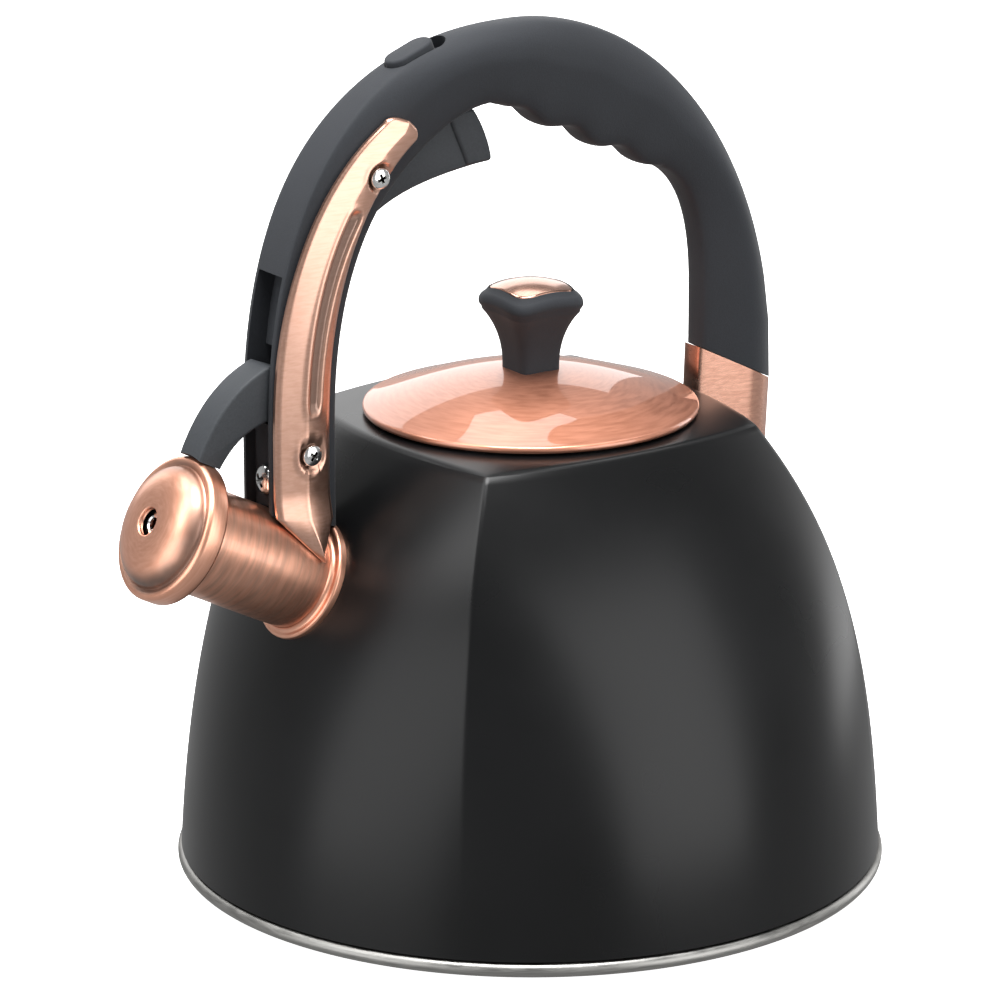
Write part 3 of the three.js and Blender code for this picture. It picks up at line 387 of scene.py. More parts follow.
def copper(name, lines, roughness, patina_and_shade=None, light=COPPER_LIGHT, dark=COPPER_DARK, relief=0.02, **coat):
    """Brushed, lacquered copper. lines gives coordinates in which one unit is one brushed line's width."""
    look, tree, shader = start(name, Metallic=1.0, **coat)
    where = place_mm(tree)
    grain = noise(tree, lines(tree, where), 1.0, 2.0, 0.5)
    cloud = noise(tree, where, 0.04, 2.0)
    colour = blend(tree, spread(tree, mostly(tree, grain, cloud), 0.3, 0.7, 1.0, 0.0), light, dark)
    rough = spread(tree, grain, 0.25, 0.75, roughness * 0.95, roughness * 1.07)
    if patina_and_shade:
        # the mask darkens the copper with tarnish, and on the cap also paints a dark reflection
        mask = patina_and_shade(tree, where)
        colour = blend(tree, mask, colour, PATINA_AND_SHADE)
        rough = maths(tree, "ADD", rough, maths(tree, "MULTIPLY", mask, 0.12))
    cover(tree, shader, colour, rough, grain, relief, GRAIN_RELIEF)
    return look


def lines_round(origin, axis, fine, long):
    """Brushing round an axis: fine along it and outwards, long round it."""
    def lines(tree, where):
        along, radius, turn = round_axis(tree, where, origin, axis)
        across = maths(tree, "MULTIPLY", maths(tree, "ADD", radius, along), fine)
        around = [maths(tree, "MULTIPLY", maths(tree, wave, turn), long) for wave in ("SINE", "COSINE")]
        return joined(tree, across, *around)
    return lines


def lines_straight(fine, long):
    """Brushing along X: fine up and across, long along it."""
    def lines(tree, where):
        return vector(tree, "MULTIPLY", where, (long, fine, fine))
    return lines


def steel(name, colour, roughness, lines, strength=0.15, shaded_recesses=False):
    """Brushed steel or aluminium, with painted shade darkening its recesses if wanted."""
    look, tree, shader = start(name, Metallic=1.0)
    grain = noise(tree, lines(tree, place_mm(tree)), 1.0, 3.0, 0.6)
    dark = tuple(0.72 * c for c in colour)
    tint = blend(tree, spread(tree, grain, 0.25, 0.7, 1.0, 0.0), colour, dark)
    if shaded_recesses:
        # painted shade: ambient occlusion darkens the recesses, such as the screws' cross slots
        open_sky = add(tree, "ShaderNodeAmbientOcclusion", {"Distance": 1.5 * MM}, samples=8).outputs["AO"]
        tint = blend(tree, spread(tree, open_sky, 0.3, 0.75, 1.0, 0.0), tint, RECESS_SHADE)
    rough = spread(tree, grain, 0.2, 0.8, roughness * 0.75, roughness * 1.4)
    cover(tree, shader, tint, rough, grain, strength, GRAIN_RELIEF)
    return look


def plastic(name, colour, roughness, grain_mm, depth, sheen=0.0):
    """Moulded plastic or soft-touch rubber with a fine grain."""
    look, tree, shader = start(name, Sheen_Weight=sheen, Sheen_Roughness=0.4, Specular_IOR_Level=0.35)
    where = place_mm(tree)
    fine = noise(tree, where, 1 / grain_mm, 3.0, 0.7)
    cloud = noise(tree, where, 0.03, 2.0)
    lighter = tuple(min(1.0, 1.45 * c) for c in colour)
    tint = blend(tree, spread(tree, mostly(tree, fine, cloud), 0.35, 0.68, 0.0, 1.0), colour, lighter)
    rough = spread(tree, fine, 0.3, 0.7, roughness - 0.06, roughness + 0.06)
    cover(tree, shader, tint, rough, fine, 0.5, depth)
    return look


def enamel():
    """Satin black coat: an even colour with a faint orange-peel texture."""
    look, tree, shader = start("black_enamel_look", Specular_IOR_Level=0.3)
    where = place_mm(tree)
    cloud = noise(tree, where, 0.02, 3.0)
    peel = noise(tree, where, 0.9, 2.0)
    colour = blend(tree, spread(tree, cloud, 0.3, 0.7, 0.0, 1.0), BLACK, LESS_BLACK)
    cover(tree, shader, colour, spread(tree, cloud, 0.3, 0.7, 0.27, 0.31), peel, 0.06, 0.03)
    return look


def cap_patina_and_reflection(tree, where):
    """Dark tarnish in the cap's annular step, and a painted dark reflection over the dome's border, a little
    more of both low down.
    """
    along, radius, _ = round_axis(tree, where, SPOUT_ROOT, SPOUT_AXIS)
    inner = spread(tree, radius, CAP_DOME_RADIUS - 4.5, CAP_DOME_RADIUS - 0.3, 0.0, 1.0)
    outer = spread(tree, radius, CAP_DOME_RADIUS + 1.2, CAP_DOME_RADIUS + 2.4, 1.0, 0.0)
    front = spread(tree, along, CAP_STEP - 1.9, CAP_STEP - 0.6, 0.0, 1.0)
    # painted reflection: darker low down, where the dome's border mirrors dark surroundings
    low = spread(tree, split(tree, where)["Z"], 100.0, 135.0, 1.0, 0.7)
    worn = spread(tree, noise(tree, where, 0.11, 2.0), 0.3, 0.65, 0.7, 1.0)
    ring = maths(tree, "MULTIPLY", maths(tree, "MULTIPLY", inner, outer), front)
    return maths(tree, "MULTIPLY", ring, maths(tree, "MULTIPLY", low, worn), clamp=True)


def spout_patina(tree, where):
    """Uneven tarnish all over the spout's tube."""
    along, _, turn = round_axis(tree, where, SPOUT_ROOT, SPOUT_AXIS)
    worn = noise(tree, joined(tree, maths(tree, "MULTIPLY", along, 0.5), turn, 0.0), 1.0, 3.0)
    return spread(tree, worn, 0.35, 0.75, 0.12, 0.5)


def groove_patina(tree, where):
    """Tarnish along the floor of the plate's groove, which follows an arch of its own."""
    x, _, z = split(tree, where)
    out = maths(tree, "DIVIDE", maths(tree, "SUBTRACT", ARCH_X, x), GROOVE_REACH)
    up = maths(tree, "DIVIDE", maths(tree, "SUBTRACT", z, ARCH_Z), GROOVE_RISE)
    both = maths(tree, "ADD", maths(tree, "POWER", maths(tree, "ABSOLUTE", out), ARCH_POWER),
                 maths(tree, "POWER", maths(tree, "ABSOLUTE", up), ARCH_POWER))
    away = maths(tree, "ABSOLUTE", maths(tree, "SUBTRACT", maths(tree, "POWER", both, 1 / ARCH_POWER), 1.0))
    floor = spread(tree, away, 1.2 / GROOVE_REACH, 1.9 / GROOVE_REACH, 0.72, 0.0)
    low = spread(tree, z, GROOVE_LOW_Z - 1.0, GROOVE_LOW_Z + 1.0, 0.0, 1.0)
    high = spread(tree, z, GROOVE_HIGH_Z - 1.25, GROOVE_HIGH_Z + 1.25, 1.0, 0.0)
    return maths(tree, "MULTIPLY", floor, maths(tree, "MULTIPLY", low, high), clamp=True)


def strap_inner_darkening(tree, where):
    """Darker, unevenly, on the strap's inner face, towards the body."""
    inner = spread(tree, split(tree, where)["X"], REAR_INNER_X - 3.5, REAR_INNER_X + 1.5, 0.9, 0.0)
    worn = spread(tree, noise(tree, where, 0.25, 3.0), 0.3, 0.7, 0.6, 1.0)
    return maths(tree, "MULTIPLY", inner, worn, clamp=True)


ORIGIN, UPRIGHT = (0.0, 0.0, 0.0), (0.0, 0.0, 1.0)
ALONG_X = lines_straight(fine=1.5, long=0.05)


def spout_lines(fine, long):
    return lines_round(SPOUT_ROOT, SPOUT_AXIS, fine, long)


def upright_lines(fine, long):
    return lines_round(ORIGIN, UPRIGHT, fine, long)


LOOKS = {
    "enamel": enamel(),
    "lid": copper("lid_copper_look", upright_lines(1.2, 5.0), 0.5, relief=0.01,
                  light=(0.62, 0.28, 0.18), dark=(0.52, 0.215, 0.13),
                  Coat_Weight=1.0, Coat_Roughness=0.03, Coat_IOR=1.6),
    "knob": copper("knob_copper_look", ALONG_X, 0.2, light=(0.62, 0.36, 0.27), dark=(0.54, 0.29, 0.21),
                   Coat_Weight=0.5, Coat_Roughness=0.08),
    "spout": copper("spout_copper_look", spout_lines(1.4, 2.0), 0.32, spout_patina,
                    Coat_Weight=0.4, Coat_Roughness=0.08),
    "cap": copper("cap_copper_look", spout_lines(1.6, 3.0), 0.36, cap_patina_and_reflection, relief=0.01,
                  Coat_Weight=0.5, Coat_Roughness=0.2),
    "plate": copper("plate_copper_look", ALONG_X, 0.3, groove_patina,
                    light=(0.72, 0.43, 0.325), dark=(0.64, 0.36, 0.26), Coat_Weight=0.5, Coat_Roughness=0.15),
    "strap": copper("strap_copper_look", ALONG_X, 0.24, strap_inner_darkening,
                    light=(0.78, 0.43, 0.315), dark=(0.68, 0.35, 0.25), Coat_Weight=0.5, Coat_Roughness=0.08),
    "bead": steel("brushed_steel_look", (0.36, 0.355, 0.34), 0.38, upright_lines(2.0, 12.0), 0.06),
    "bright": steel("bright_steel_look", (0.86, 0.86, 0.85), 0.16, lines_straight(0.3, 0.3), 0.01, True),
    "aluminium": steel("aluminium_look", (0.75, 0.76, 0.77), 0.35, upright_lines(1.5, 12.0)),
    "soft": plastic("soft_black_look", (0.017, 0.019, 0.023), 0.72, grain_mm=0.55, depth=0.1, sheen=0.1),
    "hard": plastic("hard_black_look", (0.027, 0.030, 0.034), 0.6, grain_mm=0.7, depth=0.06),
    "silicone": plastic("grey_silicone_look", (0.32, 0.33, 0.34), 0.6, grain_mm=1.2, depth=0.05),
}


# ---- body and base ----
def lean(z):
    """0 at the foot of the body and 1 at its shoulder."""
    return np.clip((z - FOOT_Z) / (SHOULDER_Z - FOOT_Z), 0, 1)


def wall_distance(z, shoulder, power):
    """Axis to wall at a height, for a place in the section where it is a given distance at the shoulder."""
    late = FOOT_RADIUS - BODY_TAPER - shoulder
    return FOOT_RADIUS - BODY_TAPER * lean(z) - late * lean(z) ** power


def wall_radius(turn, z):
    """Axis to wall. Four arcs with blended corners make the section, and at the foot it is a circle."""
    corner = wall_distance(z, SHOULDER_CORNER, CORNER_POWER)
    middle = wall_distance(z, SHOULDER_MIDDLE, MIDDLE_POWER)
    half = corner * math.sqrt(0.5)
    radius = (half**2 + (half - middle) ** 2) / (2 * (middle - half))
    back = radius - middle

    def arc_of_side(angle):
        return -back * np.cos(angle) + np.sqrt(np.maximum(radius**2 - (back * np.sin(angle)) ** 2, 0))

    def side(k):
        return arc_of_side(turn - k * np.pi / 2)

    near = np.round(turn / (np.pi / 2))
    first = side(near)
    second = side(near + np.where(turn > near * np.pi / 2, 1, -1))
    step = CREASE_HALF / corner
    soft = max(arc_of_side(np.pi / 4 + step) - arc_of_side(np.pi / 4 - step), 1e-3)
    share = np.clip(0.5 + 0.5 * (second - first) / soft, 0, 1)
    return mix(second, first, share) - soft * share * (1 - share)


# the directions of a section's points, which stand closer at the corners
SIDE_TURNS = np.pi / 4 * np.sin(np.linspace(-np.pi / 2, np.pi / 2, 96, endpoint=False))
SECTION_TURNS = np.concatenate([SIDE_TURNS + k * np.pi / 2 for k in range(4)])


def body_ring(radius, z):
    """A ring round the body: one radius and one height, or one of each for every direction."""
    radius, z = (np.broadcast_to(value, SECTION_TURNS.shape) for value in (radius, z))
    return np.stack([radius * np.cos(SECTION_TURNS), radius * np.sin(SECTION_TURNS), z], axis=1)


def wall_ring(z, inset=0.0, height=None):
    return body_ring(wall_radius(SECTION_TURNS, z) - inset, z if height is None else height)


def top_ring(share, inset):
    """A ring of the top, from the neck's brim (share 0) to where the shoulder's edge would be (share 1)."""
    radius = mix(NECK_RADIUS + 1.5, wall_radius(SECTION_TURNS, SHOULDER_Z) - inset, share)
    fall = TOP_DROOP * ((radius - NECK_RADIUS) / (SHOULDER_CORNER - NECK_RADIUS)) ** 2
    return body_ring(radius, SHOULDER_Z - fall)


def body_shell():
    rings = [wall_ring(z) for z in np.linspace(FOOT_Z, SHOULDER_Z - SHOULDER_EDGE, 70)]
    first, corner, last = rings[-1], top_ring(1.0, 0.0), top_ring(1.0, SHOULDER_LIP)
    for t in np.linspace(0, 1, 11)[1:]:
        rings.append(mix(mix(first, corner, t), mix(corner, last, t), t))
    rings += [top_ring(share, SHOULDER_LIP) for share in (0.95, 0.8, 0.6, 0.4, 0.2, 0.0)]
    neck = [(0.4, 0.3), (0.0, 1.2), (0.0, NECK_DEPTH), (WALL, NECK_DEPTH), (WALL, 2 * WALL)]
    rings += [body_ring(NECK_RADIUS + out, SHOULDER_Z - down) for out, down in neck]
    rings += [wall_ring(z, WALL) for z in np.linspace(SHOULDER_Z - 2 * WALL, FOOT_Z, 30)]
    shell = loft("body_shell_skin", rings, loop=True)
    hole = turned("hole", [(0.01, -16), (SPOUT_RADIUS, -16), (SPOUT_RADIUS, 30), (0.01, 30)], 64, on_spout)
    combine(shell, [hole])
    finish(shell, LOOKS["enamel"], "kettle", "black_enamel", "body_shell", sharp=40)


def base():
    bead = 2.05
    middle = BEAD_TOP - bead
    profile = [(CAP_DISC_RADIUS + 1.0, BEAD_TOP - 0.8), (CAP_DISC_RADIUS + 1.4, middle - 0.6)]
    profile += arc((BEAD_RADIUS - bead, middle), bead, 200, 270, 5)
    profile += arc((BEAD_RADIUS - bead, middle), bead, 280, 450, 16)
    profile += [(CAP_DISC_RADIUS + 1.0, BEAD_TOP), (1.0, BEAD_TOP), (1.0, BEAD_TOP - 0.8)]
    pan = turned("base_bead", profile, 256)
    finish(pan, LOOKS["bead"], "kettle", "brushed_steel", "base_pan")


# ---- lid ----
def lid_height(r):
    """Height of the lid's dome at a distance from its axis."""
    edge = LID_RIM_Z + 2.0
    return edge + (LID_TOP_Z - edge) * np.maximum(1 - (r / LID_RADIUS) ** 2, 0) ** 1.17


def lid():
    sheet = 0.8
    roll = [(1.4, 0.2), (0.8, 0.0), (0.2, 0.3), (0.0, 0.9), (0.05, 1.5), (0.35, 2.0)]
    rim = [(LID_RADIUS - back, LID_RIM_Z + up) for back, up in roll]
    near_rim = np.linspace(LID_RADIUS - 0.7, LID_RADIUS - 4, 6)
    radii = np.concatenate([near_rim, np.linspace(LID_RADIUS - 6, 2.4, 26)])
    top = [(r, lid_height(r)) for r in radii]
    under = [(min(r, LID_RADIUS - 1.4), lid_height(r) - sheet) for r in radii[::-1]]
    shell = turned("lid_dome", rim + top + under, 256)
    finish(shell, LOOKS["lid"], "lid", "lid_copper", "lid_shell", sharp=50)


def square_reach(turn, power):
    """Axis to the edge of a rounded square of half-width 1."""
    return (np.abs(np.cos(turn)) ** power + np.abs(np.sin(turn)) ** power) ** (-1 / power)


def knob_top(radius):
    return KNOB_TOP_Z - KNOB_DROP * (radius / KNOB_FLARE) ** 2


def knob():
    count = 96
    turn = 2 * np.pi * (np.arange(count) + 0.5) / count
    lip_low = KNOB_TOP_Z - 8.2

    def ring(half, z, power, droop):
        """A rounded square. droop is the share of the domed top's fall that its corners take."""
        radius = half * square_reach(turn, power)
        fall = droop * (knob_top(half) - knob_top(radius))
        return np.stack([radius * np.cos(turn), radius * np.sin(turn), z - fall], axis=1)

    rings = []
    for t in np.linspace(0, 1, 22):
        half = KNOB_WAIST + (KNOB_FLARE - 0.9 - KNOB_WAIST) * t**2.3
        rings.append(ring(half, mix(KNOB_FOOT_Z, lip_low, t), mix(6.5, 4.6, t), 0.75 * t**3))
    for angle in np.radians([-50, -32, -14, 0, 20, 40, 60, 78]):
        half = KNOB_FLARE - KNOB_LIP * (1 - math.cos(angle))
        rings.append(ring(half, knob_top(KNOB_FLARE) - 2.5 + KNOB_LIP * 1.25 * math.sin(angle), 4.4, 0.85))
    for out, down in ((0.35, 0.05), (0.25, 0.9)):
        rings.append(ring(KNOB_SEAM + out, knob_top(KNOB_SEAM) - down, 4.4, 1.0))
    body = loft("knob_grip", rings)
    finish(body, LOOKS["soft"], "lid", "soft_black", "knob_body", sharp=60)
    rings = [ring(KNOB_SEAM - 0.1, knob_top(KNOB_SEAM) - 0.8, 4.4, 1.0)]
    rings.append(ring(KNOB_SEAM - 0.05, knob_top(KNOB_SEAM) - 0.3, 4.4, 1.0))
    for share in (0.98, 0.93, 0.85, 0.75, 0.62, 0.48, 0.33, 0.18, 0.05):
        half = KNOB_SEAM * share
        rings.append(ring(half, knob_top(half), mix(3.0, 4.4, share), 1.0))
    inlay = loft("knob_cap", rings)
    finish(inlay, LOOKS["knob"], "lid", "knob_copper", "knob_inlay", sharp=50)


# ---- spout and whistle cap ----
def spout():
    wall = 0.8
    root = -9.0
    tube = [(SPOUT_RADIUS, root)] + [(SPOUT_RADIUS, s) for s in np.linspace(-5, SPOUT_LENGTH - 0.4, 14)]
    tube += [(SPOUT_RADIUS - 0.25, SPOUT_LENGTH), (SPOUT_RADIUS - wall, SPOUT_LENGTH - 0.1)]
    tube += [(SPOUT_RADIUS - wall, root)]
    pipe = turned("spout_pipe", tube, 128, on_spout)
    finish(pipe, LOOKS["spout"], "kettle", "spout_copper", "spout_tube")
    fillet = arc((SPOUT_RADIUS + 1.5, 1.5), 1.4, 180, 262, 6)
    bead = arc((COLLAR_RADIUS - 0.95, -0.7), 0.95, 100, 0, 8)
    profile = [(SPOUT_RADIUS + 0.05, -7.0), *fillet, *bead, (COLLAR_RADIUS, -7.0)]
    collar = turned("spout_bead", profile, 128, on_spout)
    finish(collar, LOOKS["cap"], "kettle", "spout_copper", "spout_collar", sharp=50)


def cap():
    hem = ((0.7, 0.0), (0.15, 0.15), (0.0, 0.7), (0.0, 3.0))
    skirt = [(CAP_RADIUS - back, CAP_SKIRT_START + up) for back, up in hem]
    brow = arc((CAP_RADIUS - 1.7, CAP_STEP - 1.7), 1.7, 5, 95, 9)
    step = [(CAP_DOME_RADIUS + 1.2, CAP_STEP - 0.35), (CAP_DOME_RADIUS + 0.6, CAP_STEP - 0.55)]
    dome = []
    for turn in np.radians(np.linspace(4, 90, 20)):
        radius = WHISTLE_HOLE + 0.5 + (CAP_DOME_RADIUS - WHISTLE_HOLE - 0.2) * math.cos(turn) ** 0.92
        dome.append((radius, CAP_STEP - 0.7 + (CAP_TIP - CAP_STEP + 0.6) * math.sin(turn)))
    edge = ((0.15, 0.2), (0.0, 0.7), (0.0, 1.6))
    hole = [(WHISTLE_HOLE + out, CAP_TIP - down) for out, down in edge]
    inner = [(WHISTLE_HOLE + 2.0, CAP_TIP - 1.4), (CAP_DOME_RADIUS - 3, CAP_STEP + 0.8)]
    inner += [(CAP_DOME_RADIUS, CAP_STEP - 1.6), (CAP_RADIUS - 1.6, CAP_STEP - 2.2)]
    inner += [(CAP_RADIUS - 0.9, CAP_STEP - 3.0), (CAP_RADIUS - 0.85, CAP_SKIRT_START + 0.2)]
    shell = turned("cap_dome", skirt + brow + step + dome + hole + inner, 160, on_spout)
    finish(shell, LOOKS["cap"], "whistle_lever", "cap_copper", "cap_shell", sharp=60)
    disc = [(WHISTLE_BORE, 3.0), (WHISTLE_BORE + 0.15, 2.2), (WHISTLE_BORE + 0.6, 1.9)]
    disc += [(WHISTLE_HOLE - 0.8, 2.4), (8.0, 2.6), (10.0, 2.6), (10.0, 3.2)]
    lens = turned("whistle_lens", [(r, CAP_TIP - down) for r, down in disc], 64, on_spout)
    finish(lens, LOOKS["bright"], "whistle_lever", "bright_steel", "whistle_front_disc")


# ---- handle ----
def grip_underside(share):
    """A straight chord with a cosine ridge between each pair of fingers."""
    along = GRIP_END - GRIP_START
    across = np.array([-along[1], along[0]]) / np.linalg.norm(along)
    point = GRIP_START + along * share
    fade = abs(math.sin(math.pi * share)) ** 0.25
    ridge = GRIP_RIDGE * fade * math.cos(2 * math.pi * (point[0] - RIDGE_X) / GRIP_PITCH)
    return point - across * ridge


def handle_stations():
    """Each station: the turn of the arch in degrees, its outer point and its inner point."""
    def outer(turn):
        wide, power = (REAR_REACH, 2.0) if turn < 90 else (FRONT_REACH, ARCH_POWER)
        return arch(wide, OUTER_RISE, power, math.radians(turn))

    front, back = ARCH_X - FRONT_REACH, ARCH_X - INNER_REACH
    ridges_from, ridges_to = GRIP_TURNS
    found = [(180.0, np.array([front, z]), np.array([back, z])) for z in np.linspace(LEG_FOOT_Z, ARCH_Z, 8)]
    for turn in np.linspace(180, ridges_from, 44)[1:]:
        inner = arch(INNER_REACH, INNER_RISE, ARCH_POWER, math.radians(turn))
        inner[1] += HOLLOW * (1 - smoothstep(turn, 101, 124)) * smoothstep(turn, 92, 99)
        found.append((turn, outer(turn), inner))
    for share in np.linspace(0, 1, 67)[1:]:
        turn = mix(ridges_from, ridges_to, share)
        found.append((turn, outer(turn), grip_underside(share)))
    bend = bezier([GRIP_END, (53, 199), (REAR_INNER_X, 188), (REAR_INNER_X, 165)], 20)
    for turn, point in zip(np.linspace(ridges_to, 13, len(bend))[1:], bend[1:]):
        found.append((turn, outer(turn), point))
    cut_z = HANDLE_END[1] + (HANDLE_END[0] - REAR_INNER_X) * math.tan(HANDLE_CUT)
    found.append((6.0, outer(6.0), np.array([REAR_INNER_X, 156.0])))
    found.append((0.0, HANDLE_END, np.array([REAR_INNER_X, cut_z])))
    return found


def handle_widths(turn):
    """The half-widths, in millimetres, and edge roundings of the handle's section at a turn of the arch."""
    grip = 1 - smoothstep(turn, 100, 150)
    rear = 1 - smoothstep(turn, 0, 75)

    def along(leg, crown, end):
        return mix(mix(leg, crown, grip), end, rear)

    return {
        "outer": along(LEG_EDGE_HALF, CROWN_EDGE_HALF, REAR_EDGE_HALF),
        "ridge": along(HANDLE_HALF, HANDLE_HALF, REAR_RIDGE_HALF),
        "inner": along(LEG_INNER_HALF, CROWN_INNER_HALF, REAR_EDGE_HALF),
        "place": along(0.48, 0.42, REAR_RIDGE_PLACE),
        "edge": along(0.5, 2.4, 1.0),
        "under": along(1.0, 2.2, 1.4),
    }


def section_side(depth, w):
    """One side of the handle's section, as (distance from the outer face, half-width)."""
    ridge, soft = w["place"] * depth, 1.6
    dome = w["outer"] + 0.72 * (w["ridge"] - w["outer"])
    fall = (w["ridge"] - w["inner"]) / (depth - ridge)
    return [
        (0.0, w["outer"] - w["edge"]), (0.6 * w["edge"], w["outer"]), (0.45 * ridge, dome),
        (ridge - soft, w["ridge"]), (ridge + soft, w["ridge"] - 0.6 * soft * fall),
        (depth - w["under"], w["inner"] + w["under"] * fall), (depth, w["inner"] - w["under"]),
    ]


def section_ring(outer, inner, side):
    """A closed, rounded section between an outer and an inner point of the XZ plane."""
    depth = np.linalg.norm(inner - outer)
    ring = [(*(outer + (inner - outer) * u / depth), -y) for u, y in side]
    ring += [(*(outer + (inner - outer) * u / depth), y) for u, y in side[::-1]]
    ring = chaikin(np.array(ring), 2)
    return ring[:, [0, 2, 1]]


def front_x(z):
    """X of the front leg's outer face at a height."""
    up = max(0.0, (z - ARCH_Z) / OUTER_RISE)
    return ARCH_X - FRONT_REACH * (1 - up**ARCH_POWER) ** (1 / ARCH_POWER)


def crown_z(x):
    """Height of the handle's outer face."""
    along = abs(x - ARCH_X) / FRONT_REACH
    return ARCH_Z + OUTER_RISE * (1 - along**ARCH_POWER) ** (1 / ARCH_POWER)


def body_form(offset):
    """A solid of the body's outer shape, made bigger by an offset, to cut with."""
    rings = [wall_ring(z, -offset) for z in np.linspace(FOOT_Z, SHOULDER_Z, 24)]
    rings.append(wall_ring(SHOULDER_Z, -offset, SHOULDER_Z + offset))
    return loft("body_room", rings)


def spout_room(gap):
    """Solids of the spout and its collar with a gap round them, to cut with."""
    tube = [(0.01, -20), (SPOUT_RADIUS + gap, -20), (SPOUT_RADIUS + gap, 70), (0.01, 70)]
    collar = [(0.01, -12), (COLLAR_RADIUS + gap, -12), (COLLAR_RADIUS + gap, 1.2), (0.01, 1.2)]
    return [turned("tube_room", tube, 96, on_spout), turned("collar_room", collar, 96, on_spout)]


def channel_cutters():
    """Open slot in the front leg for the lever, its swing room, and the recess for the fixing screw."""
    outside, half = -112.0, CHANNEL_HALF
    slot_foot, recess_back = 150, -90
    back = [(front_x(z) + CHANNEL_DEPTH, z) for z in np.linspace(slot_foot, CHANNEL_TOP, 9)]
    slot = [(outside, slot_foot), *back, (outside, CHANNEL_TOP + 3)]
    recess = [(outside, 90), (recess_back, 90), (recess_back, slot_foot + 1), (outside, slot_foot + 1)]
    low = LEVER_PIVOT[1] - SWING_RADIUS + 0.2
    throat = [(outside, 145), (LEVER_PIVOT[0], low), (-84, 165), (outside, 165)]
    swing = arc(LEVER_PIVOT, SWING_RADIUS, 0, 360 * (1 - 1 / 64), 64)
    shapes = {"slot": slot, "recess": recess, "swing": swing, "throat": throat}
    return [slab(name, outline, -half, half) for name, outline in shapes.items()]


def trigger_cutters():
    """Room in the handle for the trigger's blade and its wider finger pad, squeezed or not."""
    nose = [(-12, 200), (-14.2, 229), (-20, 240), (-34, 240)]
    blade = [(-79, 200), (-70, 193), (-56, 192), *nose, (-48, 231), (-64, 224), (-79.2, 209.5)]
    pad = [(-33, 200), *nose]
    room = 0.6
    return [slab("blade_room", blade, -TRIGGER_HALF - room, TRIGGER_HALF + room),
            slab("pad_room", pad, -PAD_HALF - room, PAD_HALF + room)]


CROWN_TILT = math.atan2(crown_z(BUTTON_X + 1) - crown_z(BUTTON_X - 1), 2)


def on_crown(points):
    """Points with x along the handle's crown and z outwards, moved to the lock button."""
    along = np.array([math.cos(CROWN_TILT), 0.0, math.sin(CROWN_TILT)])
    outwards = np.array([-math.sin(CROWN_TILT), 0.0, math.cos(CROWN_TILT)])
    side = np.array([0.0, 1.0, 0.0])
    middle = np.array([BUTTON_X, 0.0, crown_z(BUTTON_X)])
    return middle + points[:, :1] * along + points[:, 1:2] * side + points[:, 2:] * outwards


def lozenge(name, start, end, half, low, high):
    """A bar with round ends on the handle's crown."""
    shape = np.array(arc((end - half, 0), half, -90, 90, 14) + arc((start + half, 0), half, 90, 270, 14))
    rings = [on_crown(np.column_stack([shape, np.full(len(shape), z)])) for z in (low, high)]
    return loft(name, rings)


def handle():
    rings = []
    for turn, outer, inner in handle_stations():
        side = section_side(np.linalg.norm(inner - outer), handle_widths(turn))
        rings.append(section_ring(outer, inner, side))
    grip = loft("handle_body", rings)
    room = lozenge("button_room", -BUTTON_LENGTH / 2 - 0.4,
                   BUTTON_LENGTH / 2 + BUTTON_TRAVEL + 0.3, BUTTON_HALF + 0.35, -4.6, 8)
    seat, outside, half = REAR_SCREW[0] - 0.3, 95, 3.3
    low, high = REAR_SCREW[1] - half, REAR_SCREW[1] + half
    screw_room = slab("screw_room", [(seat, low), (outside, low), (outside, high), (seat, high)], -half, half)
    cutters = [*spout_room(0.3), body_form(0.3), *channel_cutters(), *trigger_cutters(), room, screw_room]
    combine(grip, cutters)
    finish(grip, LOOKS["soft"], "kettle", "soft_black", "handle_grip", sharp=38)


def button():
    shape = lozenge("lock_slider", -BUTTON_LENGTH / 2, BUTTON_LENGTH / 2, BUTTON_HALF, -4.2, 1.3)
    rounded(shape, 0.9, 4, angle=35)
    finish(shape, LOOKS["soft"], "lock_button", "soft_black", "lock_button", sharp=50)


# ---- copper side plates ----
def plate_edges():
    """The plate's front and rear edge points, from the point of its V up to its rounded top."""
    edges = {}
    for side in ("front", "back"):
        face = ARCH_X - PLATE_REACH[side]
        shoulder = np.array([face, PLATE_SHOULDER_Z[side]])
        vee = [mix(PLATE_TIP, shoulder, t) for t in np.linspace(0.02, 1, 26)]
        leg = [np.array([face, z]) for z in np.linspace(shoulder[1], ARCH_Z, 18)[1:]]
        turns = np.linspace(math.pi, PLATE_TURN_END[side], 90)[1:]
        curve = arch(PLATE_REACH[side], PLATE_RISE[side], ARCH_POWER, turns)
        edges[side] = vee + leg + list(curve)
    front, back = edges["front"], edges["back"]
    middle = (front[-1] + back[-1]) / 2
    half = front[-1] - middle
    ahead = np.array([half[1], -half[0]]) / np.linalg.norm(half)
    for turn in np.radians([12, 24, 36, 48, 59, 68, 76, 82, 87]):
        along = middle + ahead * 3.6 * math.sin(turn)
        front.append(along + half * math.cos(turn))
        back.append(along - half * math.cos(turn))
    return np.array(front), np.array(back)


def plate_bow(share, z):
    """How far the plate's face stands out, with a crease down its middle and edges curled in low down."""
    curl = 1 - smoothstep(z, 160, 200)
    front, rear = -1.1 * curl, -0.75 * curl
    rising = front + (PLATE_CREASE - front) * share / 0.5
    falling = PLATE_CREASE + (rear - PLATE_CREASE) * np.clip((share - 0.5) / 0.5, 0, 1) ** 1.5
    soft = smoothstep(share, 0.45, 0.55)
    return mix(rising, falling, soft)


